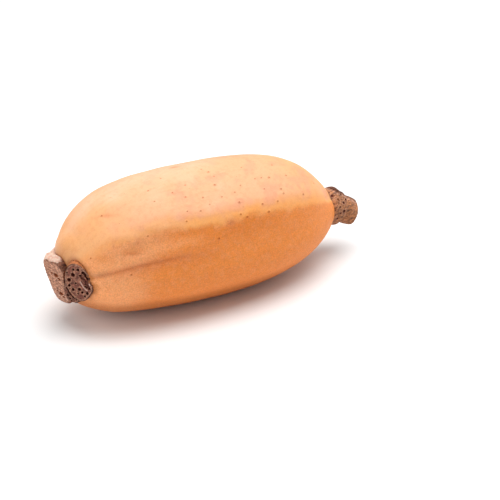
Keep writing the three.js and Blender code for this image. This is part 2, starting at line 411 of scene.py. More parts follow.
def from_surface(mesh, value, kind="FLOAT"):
    """What a value is at the nearest place of a mesh."""
    inputs = {"Mesh": mesh, "Value": value}
    return make(mesh.tree, "GeometryNodeSampleNearestSurface", inputs, data_type=kind)["Value"]


print("helpers: here, facing, shift, join, geometry_of, store_mark, read_mark, from_surface")

# %% [markdown]
# ## Cut stubs
# At each end the rhizome was cut just outside its node. What is left of the neck, of a side branch and
# of a leaf stalk is a short stub with an oblique cut face. A stub is a lathe form whose rings lie
# parallel to the cut and follow a slightly uneven oval. All stubs of one node are joined by a voxel
# remesh, which grows them into one skin as the plant did and gives even faces for the bark to work on.
#
# Sizes are in millimetres and turns in degrees. A stub starts at an offset from its pole and reaches out
# along its axis, and its face looks the way of the cut. Tall and wide are the half widths of its oval,
# roll leans the oval over, and a squareness above 2 makes it boxier. Flare and belly widen its foot and
# its middle, and narrow is what is left at the cut. A corner is a turn where the outline bulges or
# shrinks. Peeled and stained are the turns of its flank where the bark came off, or is stained. Tone
# picks its colour, from 0 for the neck to 1 for the branch, and more for the fork, whose higher tone
# paints it darker, as painted shade behind the branch.

# %% Stub sizes
PLAIN = {"roll": 0, "flare": 0, "belly": 0, "squareness": 2, "corners": (), "peeled": None, "stained": None}
NECK = PLAIN | {
    "pole": -1, "offset": (3.89, 5.19, -1.99), "axis": (-0.843, -0.432, -0.321), "reach": 9.5,
    "cut": (-0.84, -0.41, -0.31), "tall": 15.4, "wide": 6.0, "belly": 0.08, "narrow": 0.95,
    "squareness": 3.3, "corners": ((50, 0.08), (135, 0.05), (300, -0.08)), "peeled": 86, "tone": 0.0,
}
BRANCH = PLAIN | {
    "pole": -1, "offset": (5.0, -10.55, 0.91), "axis": (-0.666, -0.739, 0.104), "reach": 7.5,
    "cut": (-0.73, -0.66, 0.12), "roll": -27, "tall": 10.3, "wide": 7.3, "flare": 0.02, "narrow": 0.955,
    "squareness": 2.15, "corners": ((245, -0.18),), "stained": 120, "tone": 1.0,
}
# The fork's tone above 1 paints it darker, as painted shade behind the branch.
FORK = PLAIN | {
    "pole": -1, "offset": (2.83, -4.68, -7.65), "axis": (-0.666, -0.739, 0.104), "reach": 6,
    "cut": (-0.8, -0.5, -0.25), "roll": 6, "tall": 7.8, "wide": 4.6, "flare": 0.1, "narrow": 0.85,
    "squareness": 2.1, "tone": 1.25,
}
FAR_RING = PLAIN | {
    "pole": 1, "offset": (-3.5, 0, 0.4), "axis": (0.86, -0.22, -0.42), "reach": 7.5,
    "cut": (0.86, -0.22, -0.42), "tall": 9.3, "wide": 9.8, "flare": 0.14, "narrow": 0.84, "tone": 0.5,
}
FAR_NECK = PLAIN | {
    "pole": 1, "offset": (-2, 0, 0), "axis": (0.86, -0.22, -0.42), "reach": 13,
    "cut": (0.9, -0.1, -0.4), "tall": 7.6, "wide": 8.0, "narrow": 0.93, "squareness": 2.2, "tone": 0.5,
}
LEAF_STALK = PLAIN | {
    "pole": 1, "offset": (-3, 6, -3), "axis": (0.72, 0.62, -0.3), "reach": 8.5,
    "cut": (0.8, 0.5, -0.3), "tall": 4.4, "wide": 4.2, "flare": 0.15, "narrow": 0.92, "tone": 0.8,
}
UNEVENNESS = 0.033
CORNER_WIDTH = 26


def stub_frame(size):
    """The frame of a stub: y runs out along its axis, x and z across it in the plane of the cut."""
    normal = Vector(size["cut"]).normalized()
    lean = Matrix.Rotation(math.radians(-size["roll"]), 3, normal)
    across = lean @ normal.cross(Vector((0, 0, 1))).normalized()
    origin = spine(size["pole"]) + Vector(size["offset"]) * MM
    return frame_from(across, Vector(size["axis"]).normalized(), across.cross(normal), origin)


def turn_off(turn, corner):
    """Degrees from a turn in radians to a corner in degrees, from -180 to 180."""
    return (math.degrees(turn) - corner + 180) % 360 - 180


def outline(size, turn):
    """Distance from a stub's axis to its outline, as a share of the half width."""
    power = size["squareness"]
    sides = abs(math.cos(turn)) ** power + abs(math.sin(turn)) ** power
    phase = size["tall"]
    stray = math.sin(2 * turn + phase) + math.sin(3 * turn + 2 * phase) + 0.5 * math.sin(5 * turn)
    reach = sides ** (-1 / power) * (1 + UNEVENNESS * stray)
    for corner, amount in size["corners"]:
        reach *= 1 + amount * math.exp(-((turn_off(turn, corner) / CORNER_WIDTH) ** 2))
    return reach


def on_stub(size, turn, share, height):
    """A point in a stub's own frame: its turn, its share of the outline there, and its height."""
    out = outline(size, turn) * share
    return Vector((size["wide"] * out * math.cos(turn), height, size["tall"] * out * math.sin(turn))) * MM


print("the neck is", 2 * NECK["tall"], "mm tall and the branch", 2 * BRANCH["tall"])

# %% Loft the stubs
TURN_STEPS = 96
ROOT_DEPTH = 6
RIM_WIDTH = 0.12
FACE_DROP = 0.3
FACE_DISH = 0.3
SIDE_WIDTH = 50


def profile_of(size):
    """Share of the outline and height of each ring, from the buried root to the middle of the cut."""
    reach, flare, belly, narrow = size["reach"], size["flare"], size["belly"], size["narrow"]
    flank = [
        (0, -ROOT_DEPTH),
        (0.7, -ROOT_DEPTH),
        (0.8 + flare, -ROOT_DEPTH * 0.5),
        (1 + flare, 0),
        (1 + flare / 3, reach * 0.35),
        (1 + belly, reach * 0.65),
        ((1 + narrow + belly) / 2, reach * 0.92),
        (narrow, reach),
    ]
    top = reach - FACE_DROP
    rim = narrow - RIM_WIDTH
    face = [(rim * share, top - FACE_DISH * (1 - share)) for share in (1, 0.6, 0.3, 0)]
    return flank, face


def side_mark(turn, middle):
    """1 on the side of a stub round a turn in degrees, 0 elsewhere and where there is no such side."""
    return 0.0 if middle is None else math.exp(-((turn_off(turn, middle) / SIDE_WIDTH) ** 4))


def loft_stubs(name, sizes):
    """One mesh with a closed shell for each stub, and on each point what it belongs to."""
    points, faces = [], []
    marks = {"cut_face": [], "tone": [], "peeled": [], "stained": []}
    for size in sizes:
        flank, face = profile_of(size)
        placed = stub_frame(size)
        first = len(points)
        for number, (share, height) in enumerate(flank + face):
            for step in range(TURN_STEPS):
                turn = 2 * math.pi * step / TURN_STEPS
                points.append(placed @ on_stub(size, turn, share, height))
                marks["cut_face"].append(float(number >= len(flank)))
                marks["tone"].append(size["tone"])
                for side in ("peeled", "stained"):
                    on_side = side_mark(turn, size[side]) if number < len(flank) - 1 else 0.0
                    marks[side].append(on_side)
        for ring in range(len(flank + face) - 1):
            for step in range(TURN_STEPS):
                low = first + ring * TURN_STEPS
                after = (step + 1) % TURN_STEPS
                faces.append((low + step, low + TURN_STEPS + step, low + TURN_STEPS + after, low + after))
    piece = new_piece(name, points, faces)
    write_marks(piece, marks)
    return piece


near_stubs = loft_stubs("near_stubs", (NECK, BRANCH, FORK))
far_stubs = loft_stubs("far_stubs", (FAR_RING, FAR_NECK, LEAF_STALK))
print("lofted", len(near_stubs.data.vertices), "and", len(far_stubs.data.vertices), "points")

# %% [markdown]
# ## Pits: canals and rootlet scars
# A lotus rhizome is full of air canals, and they end as holes in every cut face. Round each node, old
# rootlets left rings of small scars. Cutting each hole with a boolean would give clean drilled edges.
# Here each pit is a single point that knows its radius, depth and direction, and a shape tree sinks the
# bark round it. The distance to a pit is disturbed by noise first, so that its edge comes out ragged.

# %% Places of the pits
# On a cut face: across it, up it, and the radius of the hole, in millimetres.
NECK_HOLES = [
    (-0.3, 5.0, 1.5), (-1.6, 2.6, 0.9), (2.1, 5.7, 0.6), (0.4, -8.6, 1.3), (-0.5, -10.6, 0.7),
    (2.5, -7.3, 0.5), (3.2, 8.2, 0.4), (0.8, 13.5, 0.4), (-5.2, 5.5, 0.55), (-0.5, -0.8, 0.4),
    (4.1, -3.6, 0.35),
]
BRANCH_HOLES = [
    (-0.4, 7.3, 0.65), (-2.7, 6.3, 0.8), (1.1, 4.9, 1.1), (4.3, 3.1, 1.0), (1.7, 0.3, 0.5),
    (5.5, 0.4, 0.75), (4.6, -2.2, 0.8), (1.3, -3.2, 0.9), (0.6, -5.2, 0.7), (3.0, -5.0, 0.55),
    (-1.9, -6.5, 0.8), (0.1, -7.5, 0.6), (3.6, 6.9, 0.45), (-4.7, 3.4, 0.5),
]
BRANCH_TORN = [
    (-2.5, 3, 1), (-2.9, 1.5, 1.15), (-3.4, 0, 1.2), (-4.2, -1.3, 1.1), (-3.2, -2.1, 1), (-4.2, -3, 1.1),
    (-3.2, -3.6, 1), (-4, -4.6, 0.9),
]
TORN_SPOTS = [
    (-2.3, 3.3, 0.6), (-2.2, -2.9, 0.5), (-2.5, -3.9, 0.45), (-3.7, -4.8, 0.55), (-2.7, 0, 0.3)
]
FORK_PITS = [
    (2.4, -2.5, 0.8), (1.3, -4.4, 0.7), (-0.5, -2.2, 0.5), (-1.5, -3, 0.6), (-2.5, -3.7, 0.6),
    (0.6, -5.9, 0.6), (1.4, 0.1, 0.7), (-0.9, -5.3, 0.4),
]

# Paths of gullies and raised shreds over a cut face: across it and up it.
TORN_SPLIT = [(-4.6, 4.0), (-5.5, 1.7), (-6.0, -0.8), (-6.15, -3.0)]
TORN_LIP = [(-1.0, 0.2), (-1.1, -1.2), (-1.4, -3.0), (-2.0, -4.4), (-2.7, -5.2)]
TORN_SHRED = [(-5.1, -2.5), (-5.0, -3.2)]
NECK_CREVICE = [(-8.3, 11.5), (-6.4, 6.4), (-5.1, 1.6), (-4.9, -2.6), (-5.4, -6.6)]
FORK_CREVICE = [(2.6, 2.6), (1.6, 0.3), (0.3, -1.6), (-1.4, -3.4)]

# On a flank: degrees round it, height, radius, and share of the outline there.
FAR_SCARS = [
    (74, -4.3, 0.8, 0.84), (58, -2.4, 1.0, 0.98), (97, -4.2, 0.7, 0.85), (41, -3.5, 0.7, 0.90),
    (76, 0.4, 1.3, 1.11), (120, -2.2, 0.8, 0.99), (109, -2.1, 0.8, 1.0), (98, -1.7, 0.9, 1.02),
    (86, -0.9, 0.9, 1.07), (73, 2.5, 0.8, 1.06),
]

# Rings of canals: how many, share of the face's radius, radius of a hole, and turn of the first.
FAR_CANALS = [(8, 0.58, 1.0, 0), (1, 0, 0.7, 0)]
STALK_CANALS = [(4, 0.48, 0.8, 45)]

# Rings of scars: how many, radius, and height along the flank.
NECK_RING = [(15, 0.7, 3.4)]
BRANCH_RING = [(10, 0.65, 3)]
FAR_RINGS = [(17, 0.8, 1.2), (17, 0.7, 4.8)]
print("given holes:", len(NECK_HOLES), "in the neck and", len(BRANCH_HOLES), "in the branch")

# %% Kinds of pits
SEED = 11
DRAW_STEP = 48271
DRAW_RANGE = 2147483647
CANAL_DEPTH = 2.0
SCAR_DEPTH = 0.9
GULLY_STEP = 0.4
SHRED_DEPTH = -0.2
SCAR_STAGGER = 0.9
CANAL_STRAY = {"turn": 5, "out": 0.08, "mouth": 0.2}  # degrees, and shares of the distance and the radius
SCAR_STRAY = {"step": 0.3, "height": 0.4, "mouth": 0.25}  # share of a step, millimetres, share of the radius


def random_from(seed):
    """Repeatable random numbers from -1 to 1."""
    state = seed

    def draw():
        nonlocal state
        state = (state * DRAW_STEP) % DRAW_RANGE
        return 2 * state / DRAW_RANGE - 1

    return draw


def face_pits(size, holes, depth=CANAL_DEPTH, dark=1.0):
    """Pits at given places of a cut face."""
    placed = stub_frame(size)
    axis = Vector(size["axis"]).normalized()
    places = [(placed @ (Vector((x, size["reach"], z)) * MM), r * MM) for x, z, r in holes]
    return [(place, axis, radius, depth * MM, dark) for place, radius in places]


def face_gully(size, path, radius, depth, dark=1.0):
    """Pits so close along a path that they run into one gully, or into a ridge if their depth is negative."""
    holes = []
    for start, stop in zip(path, path[1:]):
        steps = math.ceil(math.dist(start, stop) / GULLY_STEP)
        for step in range(steps):
            x, z = (low + (high - low) * step / steps for low, high in zip(start, stop))
            holes.append((x, z, radius))
    return face_pits(size, holes, depth, dark)


def ring_pits(size, rings):
    """Rings of canals on a cut face, each a little out of its place."""
    draw = random_from(SEED)
    holes = []
    for count, share, radius, turn in rings:
        for number in range(count):
            angle = math.radians(turn + 360 * number / count + CANAL_STRAY["turn"] * draw())
            out = share * (1 + CANAL_STRAY["out"] * draw())
            mouth = radius * (1 + CANAL_STRAY["mouth"] * draw())
            holes.append((size["wide"] * out * math.cos(angle), size["tall"] * out * math.sin(angle), mouth))
    return face_pits(size, holes)


def flank_pit(size, angle, along, mouth, share=1.0):
    """A scar of a stub's flank: its turn round it in radians, height, radius, and share of the outline."""
    placed = stub_frame(size)
    away = Vector((math.cos(angle) / size["wide"], 0, math.sin(angle) / size["tall"]))
    axis = (placed.to_3x3() @ away).normalized()
    return placed @ on_stub(size, angle, share, along), axis, mouth * MM, SCAR_DEPTH * MM, 1.0


def flank_pits(size, rings):
    """Rings of rootlet scars round a stub's flank, alternately higher and lower."""
    draw = random_from(SEED)
    pits = []
    for count, radius, height in rings:
        for number in range(count):
            angle = 2 * math.pi * (number + SCAR_STRAY["step"] * draw()) / count
            stagger = SCAR_STAGGER if number % 2 else -SCAR_STAGGER
            along = height + stagger + SCAR_STRAY["height"] * draw()
            pits.append(flank_pit(size, angle, along, radius * (1 + SCAR_STRAY["mouth"] * draw())))
    return pits


print("a canal is", CANAL_DEPTH, "mm deep and a scar", SCAR_DEPTH)


# %% Pit points
def pit_points(name, pits):
    """A mesh of bare points, one for each pit."""
    places, axes, mouths, depths, darks = zip(*pits)
    piece = new_piece(name, places)
    axis = piece.data.attributes.new("axis", "FLOAT_VECTOR", "POINT")
    axis.data.foreach_set("vector", [number for way in axes for number in way])
    write_marks(piece, {"mouth": mouths, "depth": depths, "dark": darks})
    print(name, "has", len(pits), "points")
    return piece


near_pits = pit_points(
    "near_pits",
    face_pits(NECK, NECK_HOLES, depth=1.3)
    + face_gully(NECK, NECK_CREVICE, radius=0.75, depth=2.2)
    + face_pits(BRANCH, BRANCH_HOLES)
    + face_pits(BRANCH, BRANCH_TORN, depth=1.2, dark=0.15)
    + face_pits(BRANCH, TORN_SPOTS, depth=2.2)
    + face_gully(BRANCH, TORN_SPLIT, radius=1.0, depth=2.0)
    + face_gully(BRANCH, TORN_LIP, radius=0.25, depth=SHRED_DEPTH, dark=0.0)
    + face_gully(BRANCH, TORN_SHRED, radius=0.3, depth=SHRED_DEPTH, dark=0.0)
    + face_pits(FORK, FORK_PITS, depth=1.6)
    + face_gully(FORK, FORK_CREVICE, radius=0.6, depth=1.6)
    + flank_pits(NECK, NECK_RING)
    + flank_pits(BRANCH, BRANCH_RING),
)
far_pits = pit_points(
    "far_pits",
    ring_pits(FAR_NECK, FAR_CANALS)
    + ring_pits(LEAF_STALK, STALK_CANALS)
    + [flank_pit(FAR_RING, math.radians(turn), *rest) for turn, *rest in FAR_SCARS]
    + flank_pits(FAR_RING, FAR_RINGS),
)

# %% [markdown]
# Both trees of the bark ask the same question of every point: which pit is nearest, how far from its
# axis am I, and how high above its mouth? That question becomes a group, which both trees use.


# %% The nearest pit: a group
def nearest_pit_group():
    """Distance from the nearest pit's axis, height above its mouth, and its radius, depth and axis."""
    numbers = dict.fromkeys(("Distance", "Height", "Mouth", "Depth", "Dark"), "Float")
    inputs = {"Pits": "Geometry", "Position": "Vector"}
    tree, given = new_group("nearest_pit", "GeometryNodeTree", inputs, {**numbers, "Axis": "Vector"})
    asked = {"Geometry": given["Pits"], "Sample Position": given["Position"]}
    nearest = make(tree, "GeometryNodeSampleNearest", asked, domain="POINT")[0]

    def of_pit(value, kind="FLOAT"):
        wanted = {"Geometry": given["Pits"], "Value": value, "Index": nearest}
        return make(tree, "GeometryNodeSampleIndex", wanted, data_type=kind, domain="POINT")["Value"]

    axis = of_pit(read_mark(tree, "axis", "FLOAT_VECTOR"), "FLOAT_VECTOR")
    away = given["Position"] - of_pit(here(tree), "FLOAT_VECTOR")
    height = calc("DOT_PRODUCT", away, axis)
    answers = {"Axis": axis, "Height": height, "Distance": calc("LENGTH", away - axis * height)}
    for label in ("mouth", "depth", "dark"):
        answers[label.capitalize()] = of_pit(read_mark(tree, label))
    make(tree, "NodeGroupOutput", answers)
    return tree


NEAREST_PIT = nearest_pit_group()
RAGGED_SCALE = 700.0


def nearest_pit(tree, given, position):
    """The nearest pit to a position, which first wanders by the tree's dial, so that edges are ragged."""
    drift = noise(position, RAGGED_SCALE, output=1) - (0.5, 0.5, 0.5)
    inputs = {"Pits": geometry_of(given["Pits"]), "Position": position + drift * given["Ragged"]}
    return use_group(tree, NEAREST_PIT, inputs)


print("group:", NEAREST_PIT.name)


# %% Sink the pits: a shape tree
SINK_DIALS = {"Ragged": 0.5 * MM, "Slack": 1.6 * MM}
PIT_FLOOR = 0.72


def sink_pits(tree, given):
    """Push the bark down along each pit's axis, to a floor that is a little narrower than its mouth."""
    pit = nearest_pit(tree, given, here(tree))
    inside = ramp(pit["Distance"], pit["Mouth"], pit["Mouth"] * PIT_FLOOR)
    by_mouth = calc("LESS_THAN", calc("ABSOLUTE", pit["Height"]), given["Slack"])
    return shift(given["Geometry"], pit["Axis"] * -(inside * by_mouth * pit["Depth"]))


print("pit dials:", *SINK_DIALS)

# %% [markdown]
# ## Bark
# Old node bark is a crust: grains about a millimetre across, fine ridges that run out along the stub,
# and a raised rim round each hole. That is relief that one can see in silhouette, so it is real
# geometry. The tree also writes down, on every point, whether it lies in a pit or on a cut face, and how
# high its grain is. The paint reads those marks later, so that colour and relief agree.

# %% Crust: a shape tree
CRUST_DIALS = {"Ragged": 0.4 * MM, "Grain": 0.4 * MM, "Ridges": 0.44 * MM, "Rims": 0.16 * MM}
GRAIN_SCALE = 900.0
RIDGE_SCALE = 1100.0
RIDGE_STRETCH = (0.22, 1, 1)
TONE_BLUR = 30
# Inside each pit the paint turns dark, as painted shade of the hole's depth.
DARK_SHARES = (1.25, 0.9)  # shares of a pit's radius, from its rim inwards, between which it turns dark
DARK_HEIGHTS = (0.1 * MM, -0.6 * MM)
SHRED_SHARES = (1.5, 0.9)
RIM_SHARES = (1.3, 0.32)  # middle and half width of the raised rim
MOUTH_HEIGHTS = (1.2 * MM, 0.6 * MM)


def crust(tree, given):
    """Grain, ridges and rims, with the marks that the paint needs."""
    position = here(tree)
    pit = nearest_pit(tree, given, position)
    share = pit["Distance"] / pit["Mouth"]
    by_mouth = ramp(calc("ABSOLUTE", pit["Height"]), *MOUTH_HEIGHTS)
    rim = bell(share, *RIM_SHARES) * by_mouth
    raised = calc("LESS_THAN", pit["Depth"], 0.0)
    grain = noise(position, GRAIN_SCALE, detail=3.0, roughness=0.6)
    ridge = noise(position * RIDGE_STRETCH, RIDGE_SCALE)
    marks = {
        "pit": ramp(share, *DARK_SHARES) * ramp(pit["Height"], *DARK_HEIGHTS) * pit["Dark"],
        "torn_edge": raised * ramp(share, *SHRED_SHARES) * by_mouth,
        "rim": rim,
        "grain": grain,
    }
    stubs = geometry_of(given["Stubs"])
    for label in ("cut_face", "tone", "peeled", "stained"):
        marks[label] = from_surface(stubs, read_mark(tree, label))
    soft = {"Value": marks["tone"], "Iterations": TONE_BLUR}
    marks["tone"] = make(tree, "GeometryNodeBlurAttribute", soft, data_type="FLOAT")[0]
    height = (grain - 0.5) * given["Grain"] + rim * given["Rims"]
    height += (ridge - 0.5) * (1.0 - marks["cut_face"]) * given["Ridges"]
    geometry = given["Geometry"]
    for label, value in marks.items():
        geometry = store_mark(geometry, label, value)
    return shift(geometry, facing(tree) * height)


print("crust dials:", *CRUST_DIALS)

# %% Grow both nodes
FIRST_MELT = 0.32 * MM
SECOND_MELT = 0.25 * MM
bark, bark_shader = new_finish("node_bark")


def grow_node(name, stubs, pits):
    """A whole node: its stubs melted together, its pits sunk, and its crust grown."""
    piece = new_piece(name)
    piece.data = stubs.data.copy()
    melt(piece, FIRST_MELT)
    grow(piece, sink_pits, {"Pits": pits, **SINK_DIALS}, bark)
    melt(piece, SECOND_MELT)
    grow(piece, crust, {"Pits": pits, "Stubs": stubs, **CRUST_DIALS}, bark)
    return piece


near_node = grow_node("near_node", near_stubs, near_pits)
far_node = grow_node("far_node", far_stubs, far_pits)

# %% [markdown]
# ## The swollen skin
# The internode is one long, plump, revolved form. Long shallow hollows and ridges run down it, and one
# sharp furrow crosses its front. Each of these is a bell across the root that fades in and out along it.
# A rule makes the shape, so it is a shape tree: a flat grid is rolled up, station by station, and every
# hollow is one call of the same small group. The skin also sinks a little where it meets a node.

# %% Hollows and ridges
RELIEFS = {  # angle of its middle, half width in degrees, height in millimetres, first and last station
    "front furrow": (8.7, 2.8, -0.9, -1.1, -0.25),
    "soft lower side of the furrow": (3.5, 6.5, -0.6, -0.9, -0.3),
    "furrow's upper bank": (15.5, 4.5, 0.5, -1.0, -0.1),
    "soft upper furrow": (27, 4.5, -0.4, -0.85, 0.1),
    "front valley, near half": (14, 17, -2.5, -0.98, -0.2),
    "front valley, far half": (9, 17, -2.5, -0.44, 0.95),
    "front shoulder, near half": (44, 10, 0.9, -1.0, -0.2),
    "front shoulder, far half": (39, 10, 0.9, -0.44, 0.95),
    "lower lobe": (-16, 15, 0.6, -0.95, 0.5),
    "low front flute": (-44, 10, -0.8, -0.9, 0.4),
    "full near shoulder": (100, 50, 1.1, -1.3, -0.5),
    "slack near belly": (-56, 34, -3.4, -1.6, -0.74),
    "slack far shoulder": (52, 34, -8.0, 0.68, 1.6),
    "top flute": (112, 13, -0.7, -0.5, 0.95),
    "back furrow": (178, 5, -1.3, -0.2, 1.0),
    "back hollow": (157, 11, -1.2, -0.9, 0.6),
    "low back flute": (212, 12, -1.0, -0.8, 0.8),
}
FURROWS = ("front furrow", "back furrow")
RELIEF_FADE = 0.24


def angle_off(angle, centre):
    """Degrees from a centre, from -180 to 180."""
    return calc("WRAP", angle - centre, 180.0, -180.0)


def long_hollow_group():
    """Height of one hollow or ridge at a station and an angle."""
    labels = ("Station", "Angle", "Centre", "Width", "Height", "From", "To")
    inputs = dict.fromkeys(labels, "Float")
    tree, given = new_group("long_hollow", "GeometryNodeTree", inputs, {"Height": "Float"})
    across = bell(angle_off(given["Angle"], given["Centre"]), 0.0, given["Width"])
    starts = ramp(given["Station"], given["From"], given["From"] + RELIEF_FADE)
    ends = ramp(given["Station"], given["To"] - RELIEF_FADE, given["To"], 1.0, 0.0)
    make(tree, "NodeGroupOutput", {"Height": across * given["Height"] * starts * ends})
    return tree


LONG_HOLLOW = long_hollow_group()


def reliefs_at(tree, station, angle):
    """Height of all hollows and ridges together, and how deep in a furrow a point lies."""
    relief = furrow = None
    for name, (centre, width, height, first, last) in RELIEFS.items():
        values = (station, angle, centre, width, height * MM, first, last)
        hollow = use_group(tree, LONG_HOLLOW, dict(enumerate(values)))["Height"]
        relief = hollow if relief is None else relief + hollow
        if name in FURROWS:
            depth = hollow / (height * MM)
            furrow = depth if furrow is None else furrow + depth
    return relief, furrow


print(len(RELIEFS), "hollows and ridges")

# %% [markdown]
# The grid is rolled up by cosines, so its rings crowd where the ends curve, and its facets crowd in the
# front furrow. The brow is the swelling that leans over the near stubs. Where the skin meets a stub it
# dips a hair, and what lies inside a stub is pulled in, so that no skin shows through the bark.

# %% Skin dials, and where the skin meets a node
SKIN_DIALS = {
    "Rings": 250, "Facets": 320, "Lumps": 1.0 * MM, "Wrinkles": 0.2 * MM, "Moat": 0.05 * MM,
    "Socket": 4.5 * MM,
}
SKIN_MARKS = {
    "place_on_root": "FLOAT_VECTOR", "furrow": "FLOAT", "wrinkle": "FLOAT", "from_node": "FLOAT",
    "covered": "FLOAT",
}
CROWDED_ANGLE = math.radians(18)
CROWDING = 0.45
BROW = {"angle": 92, "width": 36, "push": 5.0 * MM, "from": -0.94, "full": -0.985, "pole": -0.998}
LUMP_SCALE = 42.0
WRINKLE_SCALE = 420.0
WRINKLE_STRETCH = (0.1, 1, 1)
WELD = 0.01 * MM
MOAT_WIDTH = 1.4 * MM
COVERED_DEPTHS = (-0.1 * MM, 0.3 * MM)  # depths inside a stub between which the skin is marked as covered
SOCKET_DEPTHS = (0.1 * MM, 0.8 * MM)


def sink_at_nodes(geometry, given):
    """Dip the skin where it meets a node, and pull in what lies inside a stub."""
    tree = geometry.tree
    nodes = join(geometry_of(given["Near node"]), geometry_of(given["Far node"]))
    shells = join(geometry_of(given["Near stubs"]), geometry_of(given["Far stubs"]))
    from_node = make(tree, "GeometryNodeProximity", {"Target": nodes}, target_element="FACES")["Distance"]
    nearest = make(tree, "GeometryNodeProximity", {"Target": shells}, target_element="FACES")["Position"]
    outward = from_surface(shells, facing(tree), "FLOAT_VECTOR")
    inside = calc("DOT_PRODUCT", nearest - here(tree), outward)
    geometry = store_mark(geometry, "from_node", from_node / MM)
    geometry = store_mark(geometry, "covered", ramp(inside, *COVERED_DEPTHS))
    moat = bell(from_node, 0.0, MOAT_WIDTH) * given["Moat"]
    socket = ramp(inside, *SOCKET_DEPTHS) * given["Socket"]
    return shift(geometry, facing(tree) * -(moat + socket))


print("skin dials:", *SKIN_DIALS)


# %% Roll up the skin
def rolled_skin(tree, given):
    """A grid rolled into the internode, with its hollows, lumps and wrinkles."""
    sides = {"Vertices X": given["Rings"], "Vertices Y": given["Facets"]}
    grid = make(tree, "GeometryNodeMeshGrid", sides)["Mesh"]
    flat = parts(here(tree))
    station = -calc("COSINE", flat["X"] * math.pi + math.pi / 2)
    even = flat["Y"] * (2 * math.pi) + math.pi
    turn = even - calc("SINE", even - CROWDED_ANGLE) * CROWDING
    angle = calc("DEGREES", turn)
    is_near = calc("LESS_THAN", station, 0.0)

    def by_end(key):
        """One of an end's numbers, for the end that a point is on."""
        return is_near * (NEAR_END[key] - FAR_END[key]) + FAR_END[key]

    distance = calc("ABSOLUTE", station)
    rest = calc("MAXIMUM", 1.0 - calc("POWER", distance, by_end("bulge")), 0.0)
    girth = station * (TAPER * RADIUS) + RADIUS
    plain = girth * calc("POWER", rest, 1.0 / by_end("bluntness"))
    share = calc("MINIMUM", plain / RADIUS, 1.0)

    cosine, sine, length = calc("COSINE", turn), calc("SINE", turn), station * (LENGTH / 2)
    round_it = vector_from(length, cosine * RADIUS, sine * RADIUS)
    relief, furrow = reliefs_at(tree, station, angle)
    lump = noise(round_it, LUMP_SCALE, detail=1.0) - 0.5
    wrinkle = noise(round_it * WRINKLE_STRETCH, WRINKLE_SCALE, detail=3.0, roughness=0.6) - 0.5
    relief = relief + lump * given["Lumps"] + wrinkle * given["Wrinkles"]
    radius = relief * share + plain

    droop = calc("POWER", distance, 4.0) * by_end("droop")
    side = station * station * BOW - radius * cosine
    height = calc("MAXIMUM", radius * sine + (girth - SINK - droop), 0.0)
    brow = bell(angle_off(angle, BROW["angle"]), 0.0, BROW["width"]) * BROW["push"]
    brow = brow * ramp(station, BROW["from"], BROW["full"]) * ramp(station, -1.0, BROW["pole"])
    place = vector_from(length - brow, side, height)

    marks = {"place_on_root": vector_from(station, cosine, sine), "furrow": furrow, "wrinkle": wrinkle}
    geometry = grid
    for label, value in marks.items():
        geometry = store_mark(geometry, label, value, SKIN_MARKS[label])
    geometry = make(tree, "GeometryNodeSetPosition", {"Geometry": geometry, "Position": place})[0]
    geometry = make(tree, "GeometryNodeMergeByDistance", {"Geometry": geometry, "Distance": WELD})[0]
    return sink_at_nodes(geometry, given)


skin, skin_shader = new_finish("skin")
internode_skin = new_piece("internode_skin")
ends = {"Near node": near_node, "Far node": far_node, "Near stubs": near_stubs, "Far stubs": far_stubs}
grow(internode_skin, rolled_skin, {**SKIN_DIALS, **ends}, skin)

# %% [markdown]
# ## Lenticels
# The skin breathes through lenticels: brown specks half a millimetre across, barely raised. They are
# scattered by nature, so a shape tree strews them over the skin with a fixed seed, never two close
# together. The clearest ones have places of their own on this root, and those are given one by one.

# %% Speck places
SEEN_SPECKS = [  # station, angle, and radius in millimetres
    (0.241, 30.4, 0.75), (0.076, 30.4, 0.7), (0.034, 33.7, 0.65), (0.049, 43, 0.6), (0.343, 60.6, 0.6),
    (0.205, 37.7, 0.55), (0.323, 37.2, 0.55), (0.388, 47.4, 0.6), (0.391, 42.9, 0.5), (-0.172, 54.1, 0.45),
    (-0.149, 46.8, 0.4), (-0.047, 51, 0.4), (0.053, 52.6, 0.4), (-0.054, 63.2, 0.6), (-0.022, 72.2, 0.4),
    (-0.035, 78.6, 0.5), (-0.063, 84.2, 0.4), (0.198, 76.4, 0.4), (0.431, 75.6, 0.4), (0.485, 61.3, 0.5),
    (0.551, 39.4, 0.55), (0.714, 54.3, 0.5), (0.264, 50.1, 0.4), (0.237, 61.4, 0.4), (0.285, 61.3, 0.45),
    (0.114, 57.8, 0.4), (-0.226, 43.1, 0.45), (-0.474, 74.5, 0.45), (-0.476, 61.7, 0.4), (-0.349, 84.5, 0.4),
    (-0.343, 65.2, 0.45), (-0.278, 58, 0.4), (-0.239, 69.3, 0.4), (-0.335, 37.8, 0.5), (-0.31, 45.3, 0.4),
    (-0.593, 34.3, 0.45), (-0.921, 35.7, 0.5), (-0.729, 3.6, 0.5), (-0.139, 17.7, 0.6), (-0.788, 71.2, 0.5),
]
FADING_EDGE = 1.8  # a dome is this much wider than its dark middle, because its colour fades outwards


def on_skin(station, angle):
    """The point of the skin nearest to a station and an angle."""
    turn = math.radians(angle)
    end = NEAR_END if station < 0 else FAR_END
    swell = (1 - abs(station) ** end["bulge"]) ** (1 / end["bluntness"])
    radius = RADIUS * (1 + TAPER * station) * swell
    guess = spine(station) + radius * Vector((0, -math.cos(turn), math.sin(turn)))
    return internode_skin.closest_point_on_mesh(guess)[1]


seen_specks = new_piece("seen_specks", [on_skin(station, angle) for station, angle, _ in SEEN_SPECKS])
write_marks(seen_specks, {"size": [FADING_EDGE * radius * MM for *_, radius in SEEN_SPECKS]})
print(len(SEEN_SPECKS), "seen specks")

